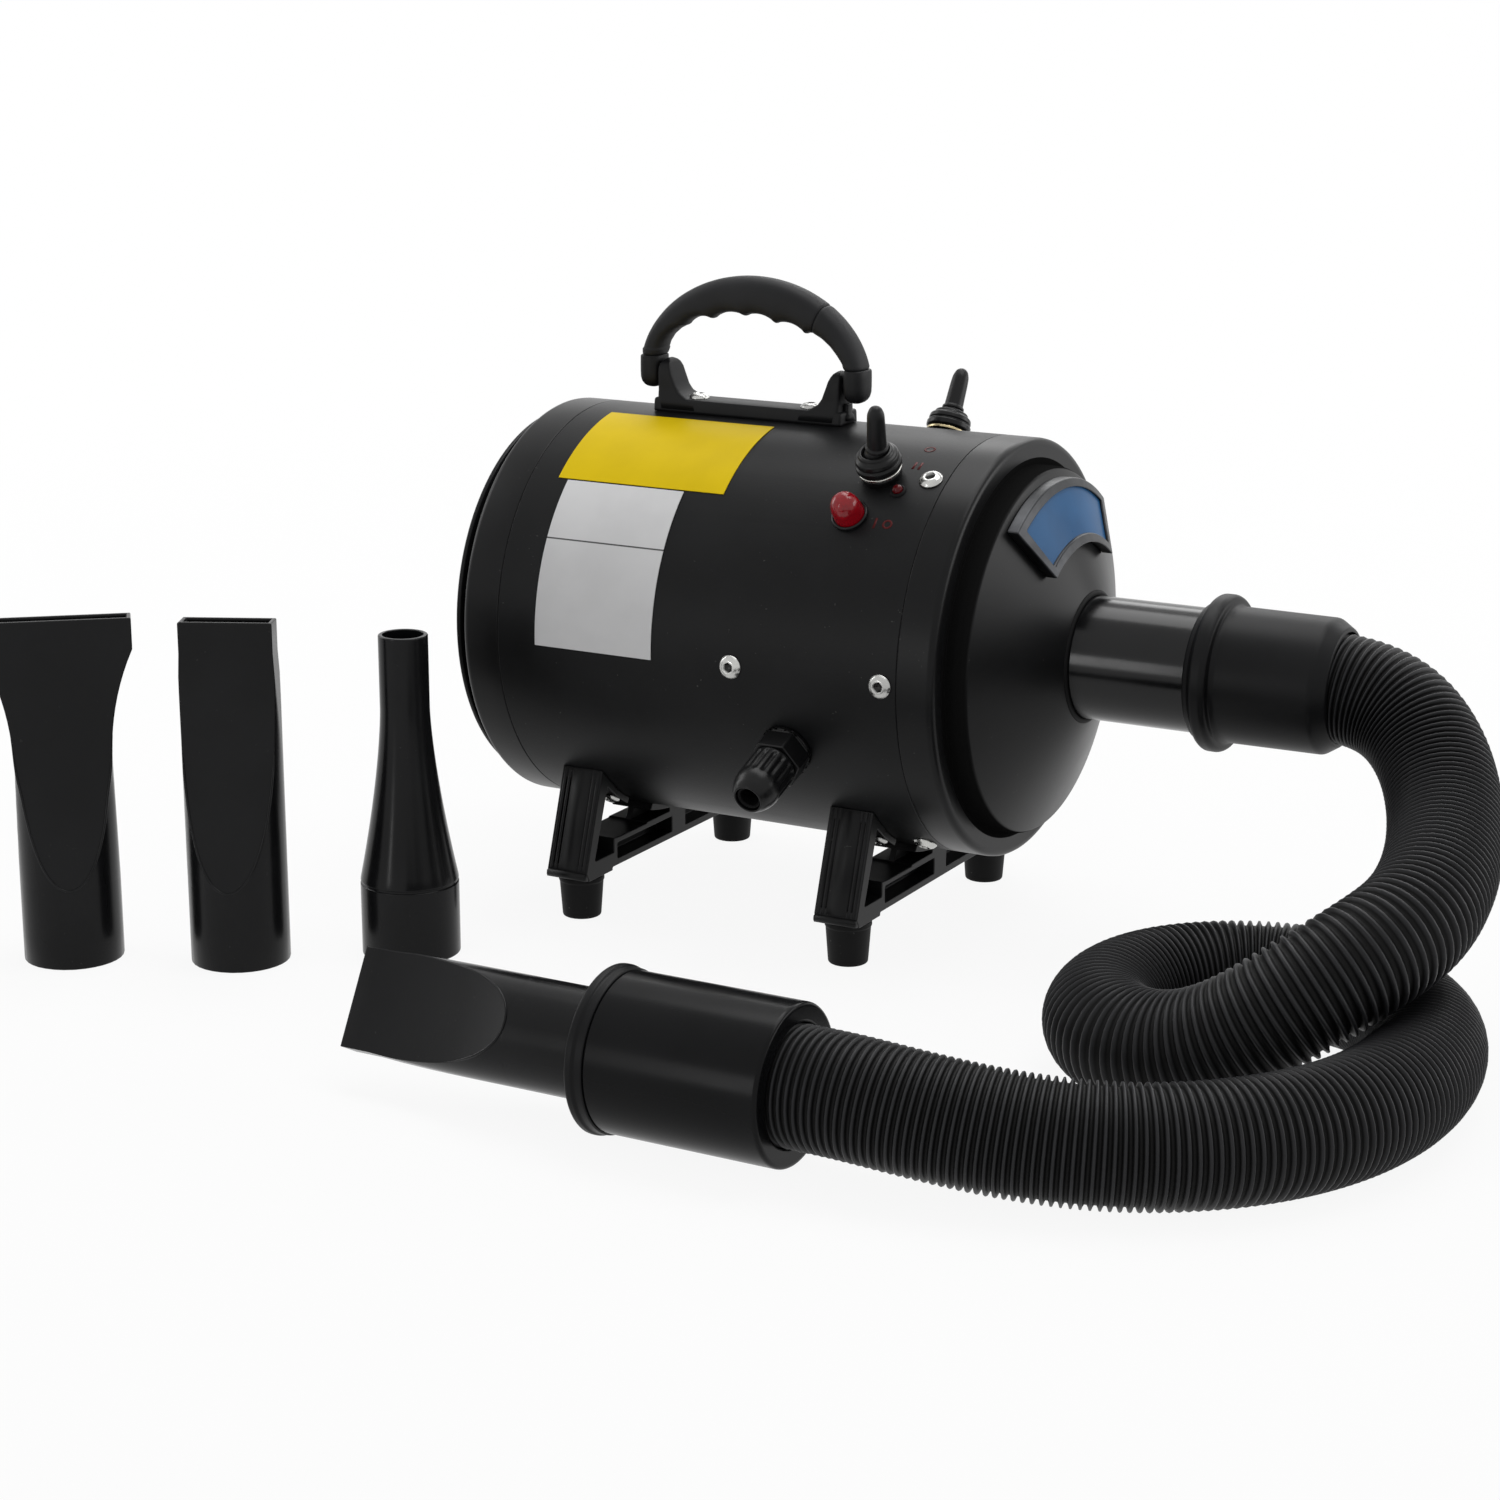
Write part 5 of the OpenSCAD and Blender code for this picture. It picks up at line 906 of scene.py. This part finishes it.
# %% Button screws
def button_head():
    """A low domed head, 10 mm wide, with a hexagon socket whose points are marked for painted shade; its seat
    is at z = 0.
    """
    socket = 2.0
    def hexagon(turn, height, out):
        corner = (turn + math.pi / 6) % (math.pi / 3) - math.pi / 6
        return out / math.cos(corner) if abs(out - socket) < 1e-6 else out
    mesh = turned("button", [
        (-4, 0), (-4, 2.2, 0.2), (-0.1, 2.2, 0), (0, 5.0, 0.1), (0.5, 5.0, 0.3), (1.6, 4.2, 0.8),
        (2.3, 2.9, 0.6), (2.35, socket, 0), (0.7, socket, 0), (0.5, 0, 0)],
        radius=0.2, sides=36, wave=hexagon)
    # the socket's points are marked for painted shade
    deep = [float(v.co.to_2d().length < 2.45 * mm and 0 < v.co.z < 2.2 * mm) for v in mesh.vertices]
    mesh.attributes.new("painted_socket_shade", "FLOAT", "POINT").data.foreach_set("value", deep)
    return mesh

full_turn = 2 * math.pi
rear_leg_x, front_leg_x = -67, 63
cover_screws = [on_shell(87, -150 + 60 * k, shell_r) for k in range(6)]
motor_screws = [on_shell(19, side, shell_r) for side in (-90, 90)]
saddle_screws = [on_shell(x + 5, side * 147, shell_r + 3) for x in (rear_leg_x, front_leg_x)
                 for side in (-1, 1)]
plate_screws = [on_shell(x, 0, plate_top - axis_z) for x in (-45.55, 8.85)]
for name, places, node, size, seed in (
        ("shell_button_screws", cover_screws + motor_screws, "shell_screws", 1.0, 4),
        ("leg_button_screws", saddle_screws, "bracket_screws", 0.8, 7),
        ("base_button_screws", plate_screws, "base_screws", 0.9, 2)):
    repeated(name, button_head(), places, node, size=size, spin=full_turn, seed=seed)
    print(name, len(places))

# %% [markdown]
# ## Toggle switches and lamps
# Each toggle stands in a threaded bush with a collar, a plated washer and a round boot nut in two
# layers, and its lever is covered with rubber. They are turned from profiles, because every ring on
# them catches its own thin highlight. The lever of the near switch leans, as it is switched over.

# %% Switches
switches = [on_shell(65, -30), on_shell(51, 30)]
collar_profile = [(86.8, 5.9), (86.8, 8.3, 0.4), (89.9, 8.6, 0.7), (90.7, 8.0, 0.4), (90.7, 5.9)]
washer_profile = [(90.7, 5.9), (90.7, 9.1, 0.3), (91.9, 9.1, 0.4), (91.9, 5.9)]
nut_profile = [(91.9, 5.9), (91.9, 8.6, 0.6), (92.8, 9.6, 0.7), (94.9, 9.6, 0.7), (95.5, 8.8, 0.2),
               (95.9, 8.8, 0.2), (96.3, 9.2, 0.6), (98.2, 8.9, 0.9), (98.9, 7.6, 0.3), (99.2, 7.4, 0.2),
               (100.3, 7.1, 0.7), (100.6, 6.0, 0.4), (99.6, 5.55, 0.3), (95.4, 5.9, 0.2)]
for piece_name, profile, node in (("collars", collar_profile, "switch_collars"),
                                  ("washers", washer_profile, "switch_washers"),
                                  ("boot_rings", nut_profile, "boot_nuts")):
    repeated(piece_name, turned(piece_name, profile, radius=0.3, sides=72), switches, node)

def lever_profile(reach):
    """A ball in the bush, a collar over the boot nut, and a tapered grip that ends reach over the pivot."""
    return [(-7.5, 0), (-7.5, 1.5, 0.3), (-5.0, 1.5, 0.3), (-4.4, 3.6, 0.8), (-2.4, 5.2, 1.0),
            (0, 5.7, 1.6), (2.2, 5.4, 1.0), (3.6, 4.8, 0.6), (5.1, 4.3, 0.2), (5.5, 4.8, 0.3),
            (6.5, 4.7, 0.4), (7.0, 4.05, 0.3), (10, 3.95, 0), (17, 3.75, 0), (reach - 3.8, 3.5, 1.2),
            (reach - 1.3, 2.6, 1.2), (reach - 0.2, 1.3, 0.8), (reach, 0)]

pivot = 96.5
for name, stand, lean, reach, node in (("near_lever", switches[0], 12, 27.0, "lever_near"),
                                       ("far_lever", switches[1], 0, 24.4, "lever_far")):
    turn_piece(name, lever_profile(reach), stand @ at(0, 0, pivot) @ spun(lean, "Y"), node,
               radius=0.3, sides=64)
    print(name, "leans", lean, "degrees")

# %% Lamp, indicator and printed marks
lamp_place, led_place = on_shell(60, -45), on_shell(75.8, -35.4)
turn_piece("lamp_dome", [
    (88.3, 0), (88.3, 6.4, 0.2), (91.0, 6.3, 0.5), (95.0, 6.0, 1.5), (98.0, 4.8, 2.2), (99.8, 2.6, 2.0),
    (100.1, 0)], lamp_place, "lamp_lens", radius=0.3, sides=72)
turn_piece("lamp_ring", [
    (64.5, 4.6), (64.5, 5.6), (87.4, 5.6), (87.1, 7.6, 0.3), (88.9, 7.7, 0.7), (89.3, 6.9, 0.3),
    (88.3, 6.65, 0.1), (88.3, 4.6)], lamp_place, "lamp_body", radius=0.2, sides=72)
turn_piece("indicator", [
    (86.9, 0), (86.9, 2.2, 0.2), (89.2, 2.2, 0.9), (90.4, 1.1, 0.6), (90.5, 0)],
    led_place, radius=0.2, sides=40, slot="red_lens", finish="dark_lens")
# a black ring round the indicator's foot
turn_piece("indicator_clip", [
    (86.9, 2.2), (87.3, 3.5, 0.2), (88.0, 3.3, 0.4), (88.5, 2.6, 0.2), (88.4, 2.2)],
    led_place, radius=0.2, sides=48, slot="black_rubber")

def printed(strip, x, angle, lift=0.06, sunk=0.01):
    """Rings of a thin printed strip on the shell: each has two edges, as (along, round) pairs in mm."""
    def point(edge, over):
        turn = math.radians(angle) + edge[1] / shell_r
        r = shell_r + over
        return (x + edge[0], r * math.sin(turn), axis_z + r * math.cos(turn))
    return [[point(a, lift), point(b, lift), point(b, sunk), point(a, sunk)] for a, b in strip]

def mark_bar(x, angle, width=1.0, height=5.0):
    strip = [((u, -height / 2), (u, height / 2)) for u in (-width / 2, width / 2)]
    return loft("bar", printed(strip, x, angle))

def mark_ring(x, angle, radius=2.5, stroke=0.9):
    turns = np.arange(24) * math.pi / 12
    strip = [[(r * math.cos(t), r * math.sin(t)) for r in (radius, radius - stroke)] for t in turns]
    return loft("ring", printed(strip, x, angle), round_again=True)

marks = [mark_bar(76.0, -24.5), mark_bar(78.6, -24.5), mark_ring(76.5, -15.5), mark_bar(72.0, -46.5),
         mark_ring(77.5, -46.5, 2.2)]
dress("printed_marks", join("printed_marks", *marks), slot="red_lens", finish="mark_red")
print("switches, lamps and", len(marks), "marks made")

# %% [markdown]
# ## Cable gland
# The mains cable enters through a nylon gland: a hexagon on the shell, and a fluted cap that squeezes
# a rubber sleeve. The flutes let fingers turn it. They are part of the turned form: the radius dips
# sixteen times round, only along the cap's straight part.

# %% Gland
gland_place = on_shell(42, -112)
flutes, flute_depth, flute_foot, flute_top = 16, 0.75, 101, 114.5
cap_r = 9.7

def fluted(turn, height, out):
    """Dips in the cap's straight wall that fade out towards both ends."""
    if out < cap_r - 0.8:
        return out
    fade = share_of(height, flute_foot, flute_foot + 1.2) * share_of(height, flute_top, flute_top - 2)
    return out - flute_depth * fade * (0.5 + 0.5 * math.cos(flutes * turn)) ** 2

cap_wall = [(z, cap_r, 0) for z in (flute_foot, 101.6, 102.4, 104, 107, 110, 112, 113, 114, 114.6)]
turn_piece("gland_dome", [
    (99.6, 7.5), (99.6, 9.3, 0.5), (100.4, cap_r, 0.4), *cap_wall, (117.5, 9.3, 1.5), (121.2, 7.8, 1.6),
    (123.3, 6.2, 0.6), (123.3, 5.5, 0.3), (109.1, 5.5, 0), (109.1, 7.5, 0)],
    gland_place, "gland_cap", radius=0.3, sides=192, wave=fluted)
soften("gland_hexagon", "gland_body", 0.6, steps=3)
turn_piece("gland_sleeve", [
    (109.2, 4.0), (109.2, 5.9), (121.8, 5.4, 0.6), (122.4, 4.8, 0.5), (121.6, 4.0, 0.4)],
    gland_place, "gland_seal", radius=0.3, sides=64)
print("gland made with", flutes, "flutes")

# %% [markdown]
# ## Legs and feet
# Two moulded brackets cradle the shell. Each leg has a broad outer face with a pair of fine grooves
# near either edge, and a lip at its foot. The construction model has the frame of it, so the copy is
# rounded and gets a grooved facing. The rubber feet are turned once and set four times.

# %% Legs
foot_top, leg_top = np.array([78.1, 22.5]), np.array([64.0, 65.3])
run_up = (leg_top - foot_top) / np.linalg.norm(leg_top - foot_top)
out_of_leg = np.array([run_up[1], -run_up[0]])
face_half, face_v, groove_v, back_v = 8.9, 0.15, -0.6, -2.3
half_face = [(face_half, 0.12)]
for edge in (7.5, 5.4):
    half_face += [(edge, face_v), (edge - 0.2, groove_v), (edge - 0.7, groove_v), (edge - 0.9, face_v)]
facing = [(face_half, back_v), *half_face, *[(-u, v) for u, v in reversed(half_face)], (-face_half, back_v)]

def leg_facing(x, side):
    """The grooved outer face of one leg, drawn in a little at its two ends, and the lip at its foot."""
    rings = []
    for height, inset in ((0.2, 0.5), (0.6, 0.0), (44.0, 0.0), (44.6, 0.4)):
        ring = []
        for u, v in facing:
            y, z = foot_top + run_up * height + out_of_leg * (v - inset)
            ring.append((x + u, side * y, z))
        rings.append(ring)
    lip = [(76.0, 18.7), (79.0, 19.4), (79.6, 20.4), (79.3, 22.2), (77.2, 22.8), (75.4, 22.0)]
    lip_rings = [[(x + u, side * (77.4 + (y - 77.4) * k), 20.7 + (z - 20.7) * k) for y, z in lip]
                 for u, k in ((-9.8, 0.7), (-9.4, 1), (9.4, 1), (9.8, 0.7))]
    return [loft("facing", rings), loft("lip", lip_rings)]

for name, node, x in (("rear_bracket", "leg_bracket_rear", rear_leg_x),
                      ("front_bracket", "leg_bracket_front", front_leg_x)):
    facings = [mesh for side in (-1, 1) for mesh in leg_facing(x, side)]
    dress(name, join(name, soft_copy(name, node, 0.5), *facings), node)
foot = turned("foot", [
    (0, 4.4, 0.3), (0, 8.3, 2.4), (2.4, 8.5, 0), (15.8, 9.5, 0.5), (16.4, 9.9, 0.4), (18.4, 9.8, 0.6),
    (18.5, 2.0), (4, 2.0), (4, 4.4)], radius=0.3, sides=64)
foot_places = [at(x, y, 0) for x in (rear_leg_x, front_leg_x) for y in (-66.3, 66.3)]
repeated("rubber_feet", foot, foot_places, "feet")
print("feet", len(foot_places))

# %% [markdown]
# ## Floor and light
# The dryer stands on a pale floor that runs out to white. The floor shows plain white to the camera
# and to reflections, with part of its own shading mixed in, so the shadow under the dryer stays. A
# large soft box overhead, two behind and one at the left draw the long highlights that show a black
# shape, and a narrow strip in front puts a fine line on the flare of the round nozzle.

# %% Floor and white surroundings
def seen_directly(graph):
    """1 for camera rays and for rays reflected or passed on by glossy and clear surfaces."""
    rays = graph.tree.nodes.new("ShaderNodeLightPath")
    camera_ray, glossy_ray, clear_ray = (Wire(graph, rays.outputs[kind]) for kind in (
        "Is Camera Ray", "Is Glossy Ray", "Is Transmission Ray"))
    direct = camera_ray + glossy_ray + clear_ray
    return direct.math("MINIMUM", direct, 1.0)

floor_finish = Finish("pale floor")
paper = floor_finish.noise(14, 2)
shaded = floor_finish.node("ShaderNodeBsdfDiffuse", None, {
    "Color": floor_finish.mix(paper, grey(0.80), grey(0.84)), "Roughness": 0.5})
white = floor_finish.node("ShaderNodeEmission", None, {"Color": grey(1.0), "Strength": 1.0})
distance = floor_finish.node("ShaderNodeVectorMath", {"operation": "LENGTH"}, {0: floor_finish.place},
                             out="Value")
near_share = 0.91
white_share = near_share + floor_finish.band(distance, 0.6, 1.5) * (1 - near_share)
floor_shader = floor_finish.node("ShaderNodeMixShader", None, {
    0: seen_directly(floor_finish) * white_share, 1: shaded, 2: white})
floor_finish.node("ShaderNodeOutputMaterial", None, {"Surface": floor_shader})
floor_half, floor_z = 6000, -0.05
corners = [(floor_half * x, floor_half * y, floor_z) for x, y in ((-1, -1), (1, -1), (1, 1), (-1, 1))]
floor_mesh = mesh_from("floor", corners, [(0, 1, 2, 3)])
floor_mesh.materials.append(floor_finish.material)
in_scene("floor", floor_mesh)
print("floor is", 2 * floor_half * mm, "m wide")

world = bpy.data.worlds.new("studio")
scene.world = world
world.use_nodes = True
sky = Graph(world.node_tree)
sky.tree.nodes.clear()
dim = sky.node("ShaderNodeBackground", None, {"Color": grey(1.0), "Strength": 0.45})
bright = sky.node("ShaderNodeBackground", None, {"Color": grey(1.0), "Strength": 1.0})
sky_shader = sky.node("ShaderNodeMixShader", None, {0: seen_directly(sky), 1: dim, 2: bright})
sky.node("ShaderNodeOutputWorld", None, {"Surface": sky_shader})

# %% Soft boxes
def soft_box(name, at, size, power, aim=(0, 0, 0.1)):
    lamp = bpy.data.lights.new(name, "AREA")
    lamp.shape, lamp.size, lamp.size_y, lamp.energy = "RECTANGLE", size[0], size[1], power
    box = bpy.data.objects.new(name, lamp)
    box.location = at
    box.rotation_euler = (Vector(aim) - Vector(at)).to_track_quat("-Z", "Y").to_euler()
    scene.collection.objects.link(box)

soft_box("overhead", (0.1, 0.35, 1.7), (1.8, 0.9), 19)
soft_box("behind", (-0.2, 1.8, 1.2), (2.0, 0.5), 9)
soft_box("back_right", (1.6, 1.0, 0.55), (1.4, 0.7), 9)
soft_box("left", (-1.7, -0.1, 0.9), (0.5, 1.2), 6)
soft_box("front_strip", (-0.5, -1.6, 0.3), (0.10, 0.5), 1.5, (-0.15, -0.2, 0.08))
scene.view_settings.view_transform = "Standard"
print("lamps", len(bpy.data.lights))
